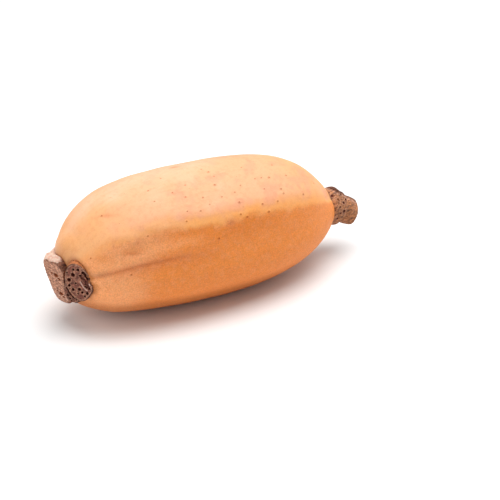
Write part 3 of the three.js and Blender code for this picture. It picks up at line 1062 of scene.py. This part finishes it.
# %% Strewn specks: a shape tree
STREWN_DIALS = {"Density": 9000.0, "Apart": 3.5 * MM, "Smallest": 0.15 * MM, "Largest": 0.4 * MM, "Seed": 5}
CROWDED_STATIONS = (-0.6, 0.2)  # specks grow denser from the first of these to the second
NEAR_SHARE = 0.35
SPECK_SHAPE = (1.0, 0.8, 0.16)
SPECK_FADE = (0.95, 0.1)
FLOOR_GAP = 2 * MM


def lenticel(tree):
    """One low dome of radius 1, with a mark that fades from its middle to its edge."""
    ball = make(tree, "GeometryNodeMeshUVSphere", {"Segments": 10, "Rings": 8, "Radius": 1.0})["Mesh"]
    from_middle = calc("LENGTH", here(tree) * (1, 1, 0))
    ball = store_mark(ball, "speck", ramp(from_middle, *SPECK_FADE))
    return make(tree, "GeometryNodeTransform", {"Geometry": ball, "Scale": SPECK_SHAPE})[0]


def strewn_specks(tree, given):
    """Low round specks on the skin: the seen ones, and smaller ones strewn between them."""
    ground = geometry_of(given["Skin"])
    station = parts(read_mark(tree, "place_on_root", "FLOAT_VECTOR"))["X"]
    strewing = {
        "Mesh": ground,
        "Selection": calc("GREATER_THAN", parts(here(tree))["Z"], FLOOR_GAP),
        "Distance Min": given["Apart"],
        "Density Max": given["Density"],
        "Density Factor": ramp(station, *CROWDED_STATIONS, NEAR_SHARE, 1.0),
        "Seed": given["Seed"],
    }
    strewn = make(tree, "GeometryNodeDistributePointsOnFaces", strewing, distribute_method="POISSON")
    limits = {2: given["Smallest"], 3: given["Largest"], "Seed": given["Seed"]}
    size = make(tree, "FunctionNodeRandomValue", limits, data_type="FLOAT")[1]
    seen = make(tree, "GeometryNodeMeshToPoints", {"Mesh": geometry_of(given["Marks"])})[0]
    outward = from_surface(ground, facing(tree), "FLOAT_VECTOR")
    placing = {
        "Points": join(store_mark(strewn["Points"], "size", size), seen),
        "Instance": lenticel(tree),
        "Rotation": make(tree, "FunctionNodeAlignRotationToVector", {"Vector": outward}, axis="Z")[0],
        "Scale": read_mark(tree, "size"),
    }
    specks = make(tree, "GeometryNodeInstanceOnPoints", placing)[0]
    specks = make(tree, "GeometryNodeRealizeInstances", {"Geometry": specks})[0]
    for label, kind in SKIN_MARKS.items():
        specks = store_mark(specks, label, from_surface(ground, read_mark(tree, label, kind), kind), kind)
    return specks


lenticels = new_piece("lenticels")
grow(lenticels, strewn_specks, {"Skin": internode_skin, "Marks": seen_specks, **STREWN_DIALS}, skin)

for helper in (near_stubs, far_stubs, near_pits, far_pits, seen_specks):
    bpy.data.objects.remove(helper)
print("helpers removed")

# %% [markdown]
# ## Paint
# The skin is cream on top and amber below, with pink clouds, a few bruises, faint streaks that run along
# it, and an orange-brown stain where it meets the bark. The amber is partly the skin's own colour and
# partly painted warmth of the shaded side. Painted light and shade go on too: a band of light and bright
# patches along the shoulder, a sheen on top, and painted shade in and under the furrow, underneath, and
# round each node. All of it follows the root's own stations and angles, which the shape tree wrote down,
# so the paint cannot slide. Effects that more than one finish uses are groups: clouds of colour, and
# fine grain.


# %% Paint helpers
def mix(factor, first, second, blend="MIX"):
    """Mix two colours."""
    colours = [(*colour, 1) if isinstance(colour, tuple) else colour for colour in (first, second)]
    inputs = {0: factor, 6: colours[0], 7: colours[1]}
    return make(tree_of(factor, *colours), "ShaderNodeMix", inputs, data_type="RGBA", blend_type=blend)[2]


def coats(colour, *layers, blend="MIX"):
    """Lay coats over a colour, one after another: each is how much of it, and its colour."""
    for amount, tint in layers:
        colour = mix(amount, colour, tint, blend)
    return colour


def grey(value):
    """A grey colour from a number."""
    return make(value.tree, "ShaderNodeCombineColor", {"Red": value, "Green": value, "Blue": value})[0]


def mark(tree, label, output="Fac"):
    """A mark that a shape tree left on the points."""
    return make(tree, "ShaderNodeAttribute", attribute_name=label)[output]


def object_place(tree):
    """The place on the piece, in metres."""
    return make(tree, "ShaderNodeTexCoord")["Object"]


def finish(shader, colour, roughness, height, strength, depth):
    """Wire colour, roughness and a fine bump into a shader."""
    bump = make(colour.tree, "ShaderNodeBump", {"Strength": strength, "Distance": depth, "Height": height})[0]
    for label, value in {"Base Color": colour, "Roughness": roughness, "Normal": bump}.items():
        wire(value, shader.inputs[label])
    print("the finish has", len(colour.tree.nodes), "nodes")


print("helpers: mix, coats, grey, mark, object_place, finish")


# %% Shared effects: clouds and fine grain
def clouds_group():
    """Soft clouds of a given size in millimetres, from 0 to 1."""
    inputs = dict.fromkeys(("Size", "Contrast", "Shift"), "Float")
    tree, given = new_group("clouds", "ShaderNodeTree", inputs, {"Cloud": "Float"})
    moved = object_place(tree) * (1 / MM / given["Size"]) + given["Shift"]
    cloud = (noise(moved, scale=1.0, roughness=0.55) - 0.5) * given["Contrast"] + 0.5
    make(tree, "NodeGroupOutput", {"Cloud": make(tree, "ShaderNodeClamp", {"Value": cloud})[0]})
    return tree


def fine_grain_group():
    """Fine grain as a number from 0 to 1, for colour, roughness and the height of a bump."""
    inputs = dict.fromkeys(("Size", "Detail"), "Float")
    tree, given = new_group("fine_grain", "ShaderNodeTree", inputs, {"Grain": "Float"})
    scaled = object_place(tree) * (1 / MM / given["Size"])
    grain_here = noise(scaled, scale=1.0, detail=given["Detail"], roughness=0.6)
    make(tree, "NodeGroupOutput", {"Grain": grain_here})
    return tree


CLOUDS = clouds_group()
FINE_GRAIN = fine_grain_group()


def clouds(tree, size, contrast, shift_by):
    """Clouds with their own size, contrast and shift."""
    return use_group(tree, CLOUDS, {"Size": size, "Contrast": contrast, "Shift": shift_by})["Cloud"]


def fine_grain(tree, size, detail=3.0):
    """Grain with its own size and detail."""
    return use_group(tree, FINE_GRAIN, {"Size": size, "Detail": detail})["Grain"]


print("shared effects:", CLOUDS.name, FINE_GRAIN.name)

# %% [markdown]
# ### Skin paint
# The paint is laid as a painter would: the two main colours first, parted by a soft edge along the
# shoulder, with painted light along that edge, then painted furrow shade and bruises, then the stain and
# the painted shade round each node, and the fine speckle last. A patch is a soft oval given by its
# station and angle, its half length and half width, how much its angle drifts along the root, and its
# strength.

# %% Skin colours
CREAM = (0.76, 0.385, 0.205)
PALE = (0.80, 0.44, 0.27)
PINK = (0.74, 0.31, 0.18)
WARM_END = (0.775, 0.375, 0.155)
FAR_CREAM = (0.76, 0.37, 0.15)
GLOW = (0.80, 0.34, 0.12)
# The next three colours are painted light: a band of light along the amber edge, a sheen on top, and bright
# patches under the shoulder where the surface turns from the light.
PAINTED_EDGE_LIGHT = (0.94, 0.42, 0.13)
PAINTED_SHEEN = (0.82, 0.50, 0.34)
PAINTED_LIGHT_SKIN = (0.94, 0.47, 0.21)
AMBER = (0.80, 0.25, 0.05)
AMBER_END = (0.82, 0.335, 0.13)
DEEP_AMBER = (0.72, 0.2, 0.026)
BELLY = (0.87, 0.35, 0.13)
# Painted shade underneath, where the root turns down to the floor.
UNDERSIDE_SHADE = (0.55, 0.17, 0.04)
# A brown for bruises and streaks, also used as painted shade in and under the furrow.
FURROW_BROWN = (0.58, 0.175, 0.055)
STAIN = (0.46, 0.15, 0.035)
# Painted shade: near black for the crevice where the bark covers the skin, and a grey that darkens the soft
# shades.
CREVICE = (0.07, 0.025, 0.015)
SHADE_TINT = (0.62, 0.62, 0.66)
WARM_TINT = (0.90, 0.81, 0.64)
# Painted shade round a node: the tint of its soft dark halo.
NODE_SHADE_TINT = (0.80, 0.76, 0.78)
BLOTCH_TINT = (0.95, 0.86, 0.82)
SPECK_TINT = (0.60, 0.44, 0.32)
# Painted light: a sheen patch on top, and bright patches along the shoulder.
SHEEN_PATCH = (-0.68, 84.0, 0.06, 8.0, 0, 0.5)
PAINTED_LIGHT_PATCHES = [(-0.69, 41.0, 0.08, 4.5, -60, 0.65), (-0.49, 40.0, 0.11, 3.5, -27, 0.75)]
NEAR_SHADES = [(-0.9, 12.1, 0.05, 3.5, -50, 0.65), (-0.98, 78.0, 0.025, 24.0, 0, 0.35)]
WARM_SHADES = [
    (-0.69, 26.0, 0.08, 4.5, -20, 0.9), (-0.875, 29.0, 0.045, 6.0, -80, 0.85),
    (-0.965, 92.0, 0.02, 26.0, 0, 0.75),
]
BRUISES = [
    (-0.765, 67.8, 0.045, 2.2, -110, 0.35), (-0.20, 98.0, 0.03, 2.0, 0, 0.6),
    (-0.695, 23.0, 0.045, 1.7, -43, 0.6), (-0.798, 36.0, 0.006, 2.2, 0, 0.35),
    (-0.657, 31.1, 0.012, 2.0, 0, 0.5), (-0.04, 29.0, 0.02, 2.0, 0, 0.6),
]
print("skin patches:", len(PAINTED_LIGHT_PATCHES), "bright and", len(NEAR_SHADES + WARM_SHADES), "shaded")

# %% [markdown]
# A coat fades in over a span. A span is written as two numbers, where it starts and where it is full,
# and where a coat is never bare or never full, its lowest and highest strength follow. A bell has its
# middle and its half width instead. Along the root both are in stations, round it in degrees, and in
# clouds and grain they are a brightness from 0 to 1.

# %% Where a point lies, and its patches
SHOULDER_SPAN = (-0.45, -0.15, 34.5, 29.0)  # the edge of the amber drops from 34.5 to 29 degrees
RISE_BELL = (0.1, 0.25)
RISE = 2.5
EDGE_WANDER = 4.0


def find_place(tree):
    """A point's station, angle and height in degrees, its clouds, and how far above the amber it lies."""
    at = SimpleNamespace(tree=tree)
    spot = parts(mark(tree, "place_on_root", "Vector"))
    at.station, at.cosine, sine = spot["X"], spot["Y"], spot["Z"]
    at.angle = calc("DEGREES", calc("ARCTAN2", sine, at.cosine))
    at.height = calc("DEGREES", calc("ARCTAN2", sine, calc("ABSOLUTE", at.cosine)))
    at.wide_cloud = clouds(tree, size=22.0, contrast=2.2, shift_by=3.0)
    at.cloud = clouds(tree, size=9.0, contrast=2.6, shift_by=7.0)
    at.small_cloud = clouds(tree, size=3.0, contrast=2.4, shift_by=1.0)
    edge = ramp(at.station, *SHOULDER_SPAN) + bell(at.station, *RISE_BELL) * RISE
    at.above = (at.cloud - 0.5) * EDGE_WANDER + at.height - edge
    return at


def soft_patch(at, row, longer=1.0, wider=1.0, weaker=1.0):
    """Strength of a soft patch."""
    middle, turn, long, wide, drift, strength = row
    along = at.station - middle
    lengthwise = bell(along, 0.0, long * longer)
    crosswise = bell(at.angle, along * drift + turn, wide * wider)
    return lengthwise * crosswise * (strength * weaker)


def patches(at, rows, tint):
    """A coat for each row of soft patches."""
    return [(soft_patch(at, row), tint) for row in rows]


skin_at = find_place(skin.node_tree)
print("places:", *vars(skin_at))

# %% Cream on top
WARM_SPAN = (-0.55, -0.9)
FAR_SPAN = (0.3, 0.8)
GLOW_SPAN = (15.0, 2.0)
BLUSH_CLOUD = (0.45, 0.95)
BLUSH_SPAN = (-0.9, -0.4, 0.2, 0.6)
PALE_CLOUD = (0.5, 0.95, 0.0, 0.6)
# The line is a painted band of light just above the amber edge, and the bell at 98 degrees is a painted sheen
# along the top.
LINE_BELL = (1.5, 5.0)
LINE_SPAN = (-0.5, -0.3)
FRONT_SPAN = (-0.1, 0.4)
SHEEN_BELL = (98.0, 14.0)
SHEEN_SPAN = (0.2, -0.1, 0.0, 0.5)


def top_paint(at):
    """Cream: warm at the ends, with pink and pale clouds, and painted light: a band of light along its lower
    edge, a sheen on top with a pale patch, and bright patches under the shoulder.
    """
    line = bell(at.above, *LINE_BELL) * ramp(at.station, *LINE_SPAN) * ramp(at.cosine, *FRONT_SPAN)
    return coats(
        CREAM,
        (ramp(at.station, *WARM_SPAN), WARM_END),
        (ramp(at.station, *FAR_SPAN), FAR_CREAM),
        (ramp(at.above, *GLOW_SPAN), GLOW),
        (ramp(at.cloud, *BLUSH_CLOUD) * ramp(at.station, *BLUSH_SPAN), PINK),
        (ramp(at.wide_cloud, *PALE_CLOUD), PALE),
        (line, PAINTED_EDGE_LIGHT),
        (soft_patch(at, SHEEN_PATCH), PAINTED_SHEEN),
        *patches(at, PAINTED_LIGHT_PATCHES, PAINTED_LIGHT_SKIN),
        (bell(at.angle, *SHEEN_BELL) * ramp(at.station, *SHEEN_SPAN), PAINTED_SHEEN),
    )


skin_top = top_paint(skin_at)
print("cream laid")

# %% Amber below
END_SPAN = (0.0, 24.0, -0.66, -0.49)  # the paler end reaches to a station that depends on the angle
END_FADE = (0.6, -0.2, 0.14, 0.4)  # its edge is softer at the back
DEEP_BELL = (-7.0, 7.0)
DEEP_STATIONS = (0.0, 0.3)
DEEP_STRENGTH = 0.7
LOBE_BELL = (-17.0, 13.0)
LOBE_SPAN = (-0.6, -0.75)
BANK_BELL = (21.5, 4.0)
BANK_STATIONS = (-0.4, 0.15)
BANK_STRENGTH = 0.6
# Where the painted shade underneath fades in, by height in degrees.
UNDER_SHADE_SPAN = (-28.0, -50.0, 0.0, 0.7)
FRONT_BLUR = (-0.3, 0.1, 3.5, 6.0)  # degrees over which cream turns into amber in front
BACK_SPAN = (0.5, -0.3)  # from the front to the back, as a cosine of the angle
BACK_BLUR = 17.0


def low_paint(at):
    """Amber, partly painted warmth of the shaded side: deeper under the shoulder, brighter on the lobe and
    the bank, and painted shade in brown underneath.
    """
    fade = ramp(at.cosine, *END_FADE)
    past_end = at.station - ramp(at.angle, *END_SPAN)
    return coats(
        AMBER,
        (ramp(past_end, fade, -fade), AMBER_END),
        (bell(at.above, *DEEP_BELL) * bell(at.station, *DEEP_STATIONS) * DEEP_STRENGTH, DEEP_AMBER),
        (bell(at.height, *LOBE_BELL) * ramp(at.station, *LOBE_SPAN), BELLY),
        (bell(at.angle, *BANK_BELL) * bell(at.station, *BANK_STATIONS) * BANK_STRENGTH, BELLY),
        (ramp(at.height, *UNDER_SHADE_SPAN), UNDERSIDE_SHADE),
    )


def amber_share(at):
    """1 in the amber and 0 in the cream, with a sharper edge in front than at the back."""
    blur = ramp(at.cosine, *BACK_SPAN, ramp(at.station, *FRONT_BLUR), BACK_BLUR)
    return ramp(at.above, blur, -blur)


# The amber is partly the skin's own colour and partly painted warmth of the shaded side, so its edge runs
# along the shoulder where the surface turns from the light.
skin_amber = amber_share(skin_at)
skin_colour = mix(skin_amber, skin_top, low_paint(skin_at))
print("amber laid")

# %% Furrow and bruises
# Painted shade: brown in the furrow, and a band below it for the shadow of its upper bank.
FURROW_SPAN = (-0.62, -0.42, 0.6, 0.35)
BELOW_START = (-6.0, 7.0)  # angles, up to the furrow
BELOW_STOP = (10.5, 8.0)
BELOW_NEAR = (-0.86, -0.72)  # stations
BELOW_FAR = (0.0, -0.4, 0.0, 0.45)
FAINT_CLOUD = (0.3, 0.9, 0.0, 0.1)
PINK_EDGE = {"longer": 1.8, "wider": 3.0, "weaker": 0.35}


def furrow_and_bruises(at, colour):
    """Painted shade as brown in the furrow and just below it, bruises with a pink edge, and soft shades near
    the end.
    """
    # The band just below the furrow is painted shadow of the furrow's overhanging upper bank.
    below = ramp(at.angle, *BELOW_START) * ramp(at.angle, *BELOW_STOP)
    below = below * ramp(at.station, *BELOW_NEAR) * ramp(at.station, *BELOW_FAR)
    colour = coats(
        colour,
        (mark(at.tree, "furrow") * ramp(at.station, *FURROW_SPAN), FURROW_BROWN),
        (below, FURROW_BROWN),
        (ramp(at.small_cloud, *FAINT_CLOUD), PALE),
    )
    for bruise in BRUISES:
        pink_edge = soft_patch(at, bruise, **PINK_EDGE)
        colour = coats(colour, (pink_edge, PINK), (soft_patch(at, bruise), FURROW_BROWN))
    shades = patches(at, NEAR_SHADES, SHADE_TINT) + patches(at, WARM_SHADES, WARM_TINT)
    return coats(colour, *shades, blend="MULTIPLY")


skin_colour = furrow_and_bruises(skin_at, skin_colour)
print("furrow and", len(BRUISES), "bruises laid")

# %% The skin round a node
# The halo and the contact shadow are painted shade round a node, and the edge ring is stain colour painted as
# contact shadow at the bark.
HALO_WIDTH = (3.2, 0.3)  # each width is in millimetres from the node
HALO_SPAN = (0.5, -0.5)
HALO_LIFT = (15 * MM, 26 * MM, 0.35, 1.0)  # each lift is a height over the floor
CONTACT_LIFT = (33 * MM, 7 * MM)
CONTACT_STRENGTH = 0.55
STAIN_PLACE = (-0.074, -0.0185, 0.033)
STAIN_REACH = (11 * MM, 4 * MM)
STAIN_WIDTH = (4.2, 0.5, 0.0, 0.85)
STAIN_WANDER = 2.5
CONTACT_EDGE_WIDTH = (0.8, 0.2, 0.0, 0.6)


def round_the_node(at, colour):
    """Painted shade round a node: a soft dark halo and a contact shadow, then the orange-brown stain, a thin
    ring of stain colour painted as contact shadow right at the bark, and near black painted crevice shade
    where the bark covers the skin.
    """
    from_node = mark(at.tree, "from_node")
    place = object_place(at.tree)
    lift = parts(place)["Z"]
    halo = ramp(from_node, *HALO_WIDTH) * ramp(at.station, *HALO_SPAN) * ramp(lift, *HALO_LIFT)
    contact_shadow = halo * halo * bell(lift, *CONTACT_LIFT) * CONTACT_STRENGTH
    colour = coats(colour, (halo, NODE_SHADE_TINT), (contact_shadow, SHADE_TINT), blend="MULTIPLY")
    ragged = (at.small_cloud - 0.5) * STAIN_WANDER + from_node
    stain = ramp(ragged, *STAIN_WIDTH) * ramp(calc("DISTANCE", place, STAIN_PLACE), *STAIN_REACH)
    # A thin ring of stain colour right at the bark, painted contact shadow.
    edge = ramp(from_node, *CONTACT_EDGE_WIDTH)
    return coats(colour, (stain, STAIN), (edge, STAIN), (mark(at.tree, "covered"), CREVICE))


skin_colour = round_the_node(skin_at, skin_colour)
print("node stain laid")

# %% Streaks, blotches and speckle
STREAK_SPAN = (0.02, 0.2, 0.0, 0.1)
BLOTCH_CLOUD = (0.5, 0.85, 0.0, 0.5)
GRAIN_SPAN = (0.3, 0.7)
CREAM_SPECKLE = (0.94, 1.045)  # darkest and lightest grain
AMBER_SPECKLE = (0.83, 1.14)
SPECK_SPAN = (0.0, 0.9)
SKIN_ROUGHNESS = (0.0, 1.0, 0.5, 0.62)
SKIN_GLOSS = 0.2
CLOUD_RELIEF = 0.5  # height of the small clouds, as a share of the grain's
SKIN_BUMP = {"strength": 0.25, "depth": 0.15 * MM}

skin_grain = fine_grain(skin_at.tree, size=0.7)
skin_blotch = clouds(skin_at.tree, size=2.4, contrast=2.4, shift_by=2.0)
darkest, lightest = [
    ramp(skin_amber, 0.0, 1.0, on_cream, on_amber) for on_cream, on_amber in zip(CREAM_SPECKLE, AMBER_SPECKLE)
]
skin_colour = coats(
    mix(ramp(mark(skin_at.tree, "wrinkle"), *STREAK_SPAN), skin_colour, FURROW_BROWN),
    (ramp(skin_blotch, *BLOTCH_CLOUD), BLOTCH_TINT),
    (1.0, grey(ramp(skin_grain, *GRAIN_SPAN, darkest, lightest, smooth=False))),
    (ramp(mark(skin_at.tree, "speck"), *SPECK_SPAN), SPECK_TINT),
    blend="MULTIPLY",
)
skin_roughness = ramp(skin_at.small_cloud, *SKIN_ROUGHNESS, smooth=False)
skin_shader.inputs["Specular IOR Level"].default_value = SKIN_GLOSS
skin_height = skin_at.small_cloud * CLOUD_RELIEF + skin_grain
finish(skin_shader, skin_colour, skin_roughness, skin_height, **SKIN_BUMP)

# %% [markdown]
# ### Bark paint
# Bark is dry crust: pinkish grey on the neck, where some of it peeled off the pale wood, brown on the far
# ring, and dark brown on the branch. Rims and high grain are tan, low grain is dark, and a pit is painted
# nearly black, as painted shade of its depth. The fork is painted darker, as painted shade behind the
# branch, and a lilac-grey painted sheen lies under the far ring's dark crest. Each stub's tone says which
# of these colours is its own.

# %% Bark colours
NECK_FACE = (0.53, 0.255, 0.16)
NECK_TIP = (0.74, 0.44, 0.33)
NECK_FLANK = (0.27, 0.11, 0.065)
RING_FLANK = (0.37, 0.145, 0.055)
BRANCH_FACE = (0.158, 0.039, 0.023)
BRANCH_FLANK = (0.10, 0.03, 0.016)
STAINED_FLANK = (0.38, 0.12, 0.032)
PEELED = (0.68, 0.49, 0.38)
PEELED_PINK = (0.64, 0.36, 0.27)
RIM_TAN = (0.46, 0.23, 0.14)
TORN_PALE = (0.5, 0.31, 0.24)
# Painted shade inside the pits: dark orange in the neck's holes, near black in the others.
PIT_DARK = (0.13, 0.026, 0.013)
PIT_ORANGE = (0.28, 0.07, 0.016)
# A lilac grey for the painted sheen on the far ring's crest.
LILAC_SHEEN = (0.50, 0.30, 0.24)
FAR_CREST_WAY = (0.575, 0.156, 0.795)  # the crest of the far ring lies this way, this far out
FAR_CREST = 74.7 * MM
print("the far crest is", FAR_CREST / MM, "mm out")

# %% Colours of the neck, the ring and the branch
TIP_LIFT = (19 * MM, 9 * MM, 0.0, 0.7)
FLANK_BLOTCH = (0.5, 0.9, 0.0, 0.45)
NECK_TO_RING = (0.0, 0.5)
RING_TO_BRANCH = (0.5, 1.0)

bark_tree = bark.node_tree
tone, on_face = mark(bark_tree, "tone"), mark(bark_tree, "cut_face")
place = object_place(bark_tree)
blotch = clouds(bark_tree, size=1.7, contrast=3.0, shift_by=4.0)
neck_face = coats(
    NECK_FACE,
    (ramp(parts(place)["Z"], *TIP_LIFT), NECK_TIP),
    (ramp(blotch, *FLANK_BLOTCH), NECK_FLANK),
)
bark_colour = coats(
    mix(on_face, NECK_FLANK, neck_face),
    (ramp(tone, *NECK_TO_RING, smooth=False), RING_FLANK),
    (ramp(tone, *RING_TO_BRANCH, smooth=False), mix(on_face, BRANCH_FLANK, BRANCH_FACE)),
)
print("bark's own colours laid")

# %% Crust, rims, the dark crest, painted sheen and painted fork shade
LOW_CRUST = (0.55, 0.35, 0.0, 0.7)
TAN_CLOUD = (0.5, 0.9, 0.0, 0.3)
FACE_EDGE = (0.5, 0.3)
FACE_EDGE_STRENGTH = 0.55
RIM_STRENGTH = 0.6
# Painted shade: the fork, whose tone is above 1, is darkened where it sits behind the branch.
FORK_SHADE = (1.02, 1.2, 0.0, 0.35)
CREST_WANDER = 0.5 * MM
# A lilac-grey painted sheen just inside the far ring's dark crest.
LILAC_SHEEN_BELL = (-0.7 * MM, 0.4 * MM)
LILAC_SHEEN_STRENGTH = 0.4
DARK_CREST = (-0.4 * MM, 0.4 * MM, 0.0, 0.85)

cloud = clouds(bark_tree, size=2.6, contrast=3.0, shift_by=5.0)
past_crest = (cloud - 0.5) * CREST_WANDER + calc("DOT_PRODUCT", place, FAR_CREST_WAY) - FAR_CREST
bark_colour = coats(
    bark_colour,
    (ramp(mark(bark_tree, "grain"), *LOW_CRUST), BRANCH_FLANK),
    (ramp(cloud, *TAN_CLOUD), RIM_TAN),
    (mark(bark_tree, "stained"), STAINED_FLANK),
    (bell(on_face, *FACE_EDGE) * FACE_EDGE_STRENGTH, RIM_TAN),
    (mark(bark_tree, "rim") * RIM_STRENGTH, RIM_TAN),
    # The fork darkened, as painted shade behind the branch.
    (ramp(tone, *FORK_SHADE), BRANCH_FLANK),
    # The painted lilac sheen just inside the dark crest.
    (bell(past_crest, *LILAC_SHEEN_BELL) * LILAC_SHEEN_STRENGTH, LILAC_SHEEN),
    (ramp(past_crest, *DARK_CREST), BRANCH_FLANK),
)
print("crust laid")

# %% Flecks, peeled wood and pits
GRAIN_SHADES = (0.3, 0.7, 0.7, 1.25)
FLECK_SHADES = (0.38, 0.62, 0.65, 1.35)
PEEL_WANDER = 0.5
PEEL_EDGE = (0.35, 0.55)
PINK_FLECKS = (0.44, 0.6)
ORANGE_TO_DARK = (0.1, 0.5)
BARK_ROUGHNESS = (0.3, 0.7, 0.75, 0.95)
BARK_BUMP = {"strength": 0.5, "depth": 0.2 * MM}

grain = fine_grain(bark_tree, size=0.5)
flecks = fine_grain(bark_tree, size=1.1, detail=2.0)
shade = ramp(grain, *GRAIN_SHADES, smooth=False) * ramp(flecks, *FLECK_SHADES)
ragged = (cloud - 0.5) * PEEL_WANDER + mark(bark_tree, "peeled")
bark_colour = coats(
    mix(1.0, bark_colour, grey(shade), "MULTIPLY"),
    (ramp(ragged, *PEEL_EDGE), mix(ramp(flecks, *PINK_FLECKS), PEELED, PEELED_PINK)),
    (mark(bark_tree, "torn_edge"), TORN_PALE),
    # Inside a pit the bark is painted orange to near black, as painted shade of the hole's depth.
    (mark(bark_tree, "pit"), mix(ramp(tone, *ORANGE_TO_DARK), PIT_ORANGE, PIT_DARK)),
)
finish(bark_shader, bark_colour, ramp(grain, *BARK_ROUGHNESS, smooth=False), grain, **BARK_BUMP)

# %% [markdown]
# ## Ride with the body
# Every piece rides with the root's one body and stands for the imported solid, which is hidden.

# %% Ride with the body and hide the imported solid
for piece, material_slot in (
    (internode_skin, "skin"),
    (lenticels, "skin"),
    (near_node, "node_bark"),
    (far_node, "node_bark"),
):
    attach(piece, "root")
    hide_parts("lotus_root_segment")

bpy.context.view_layer.update()
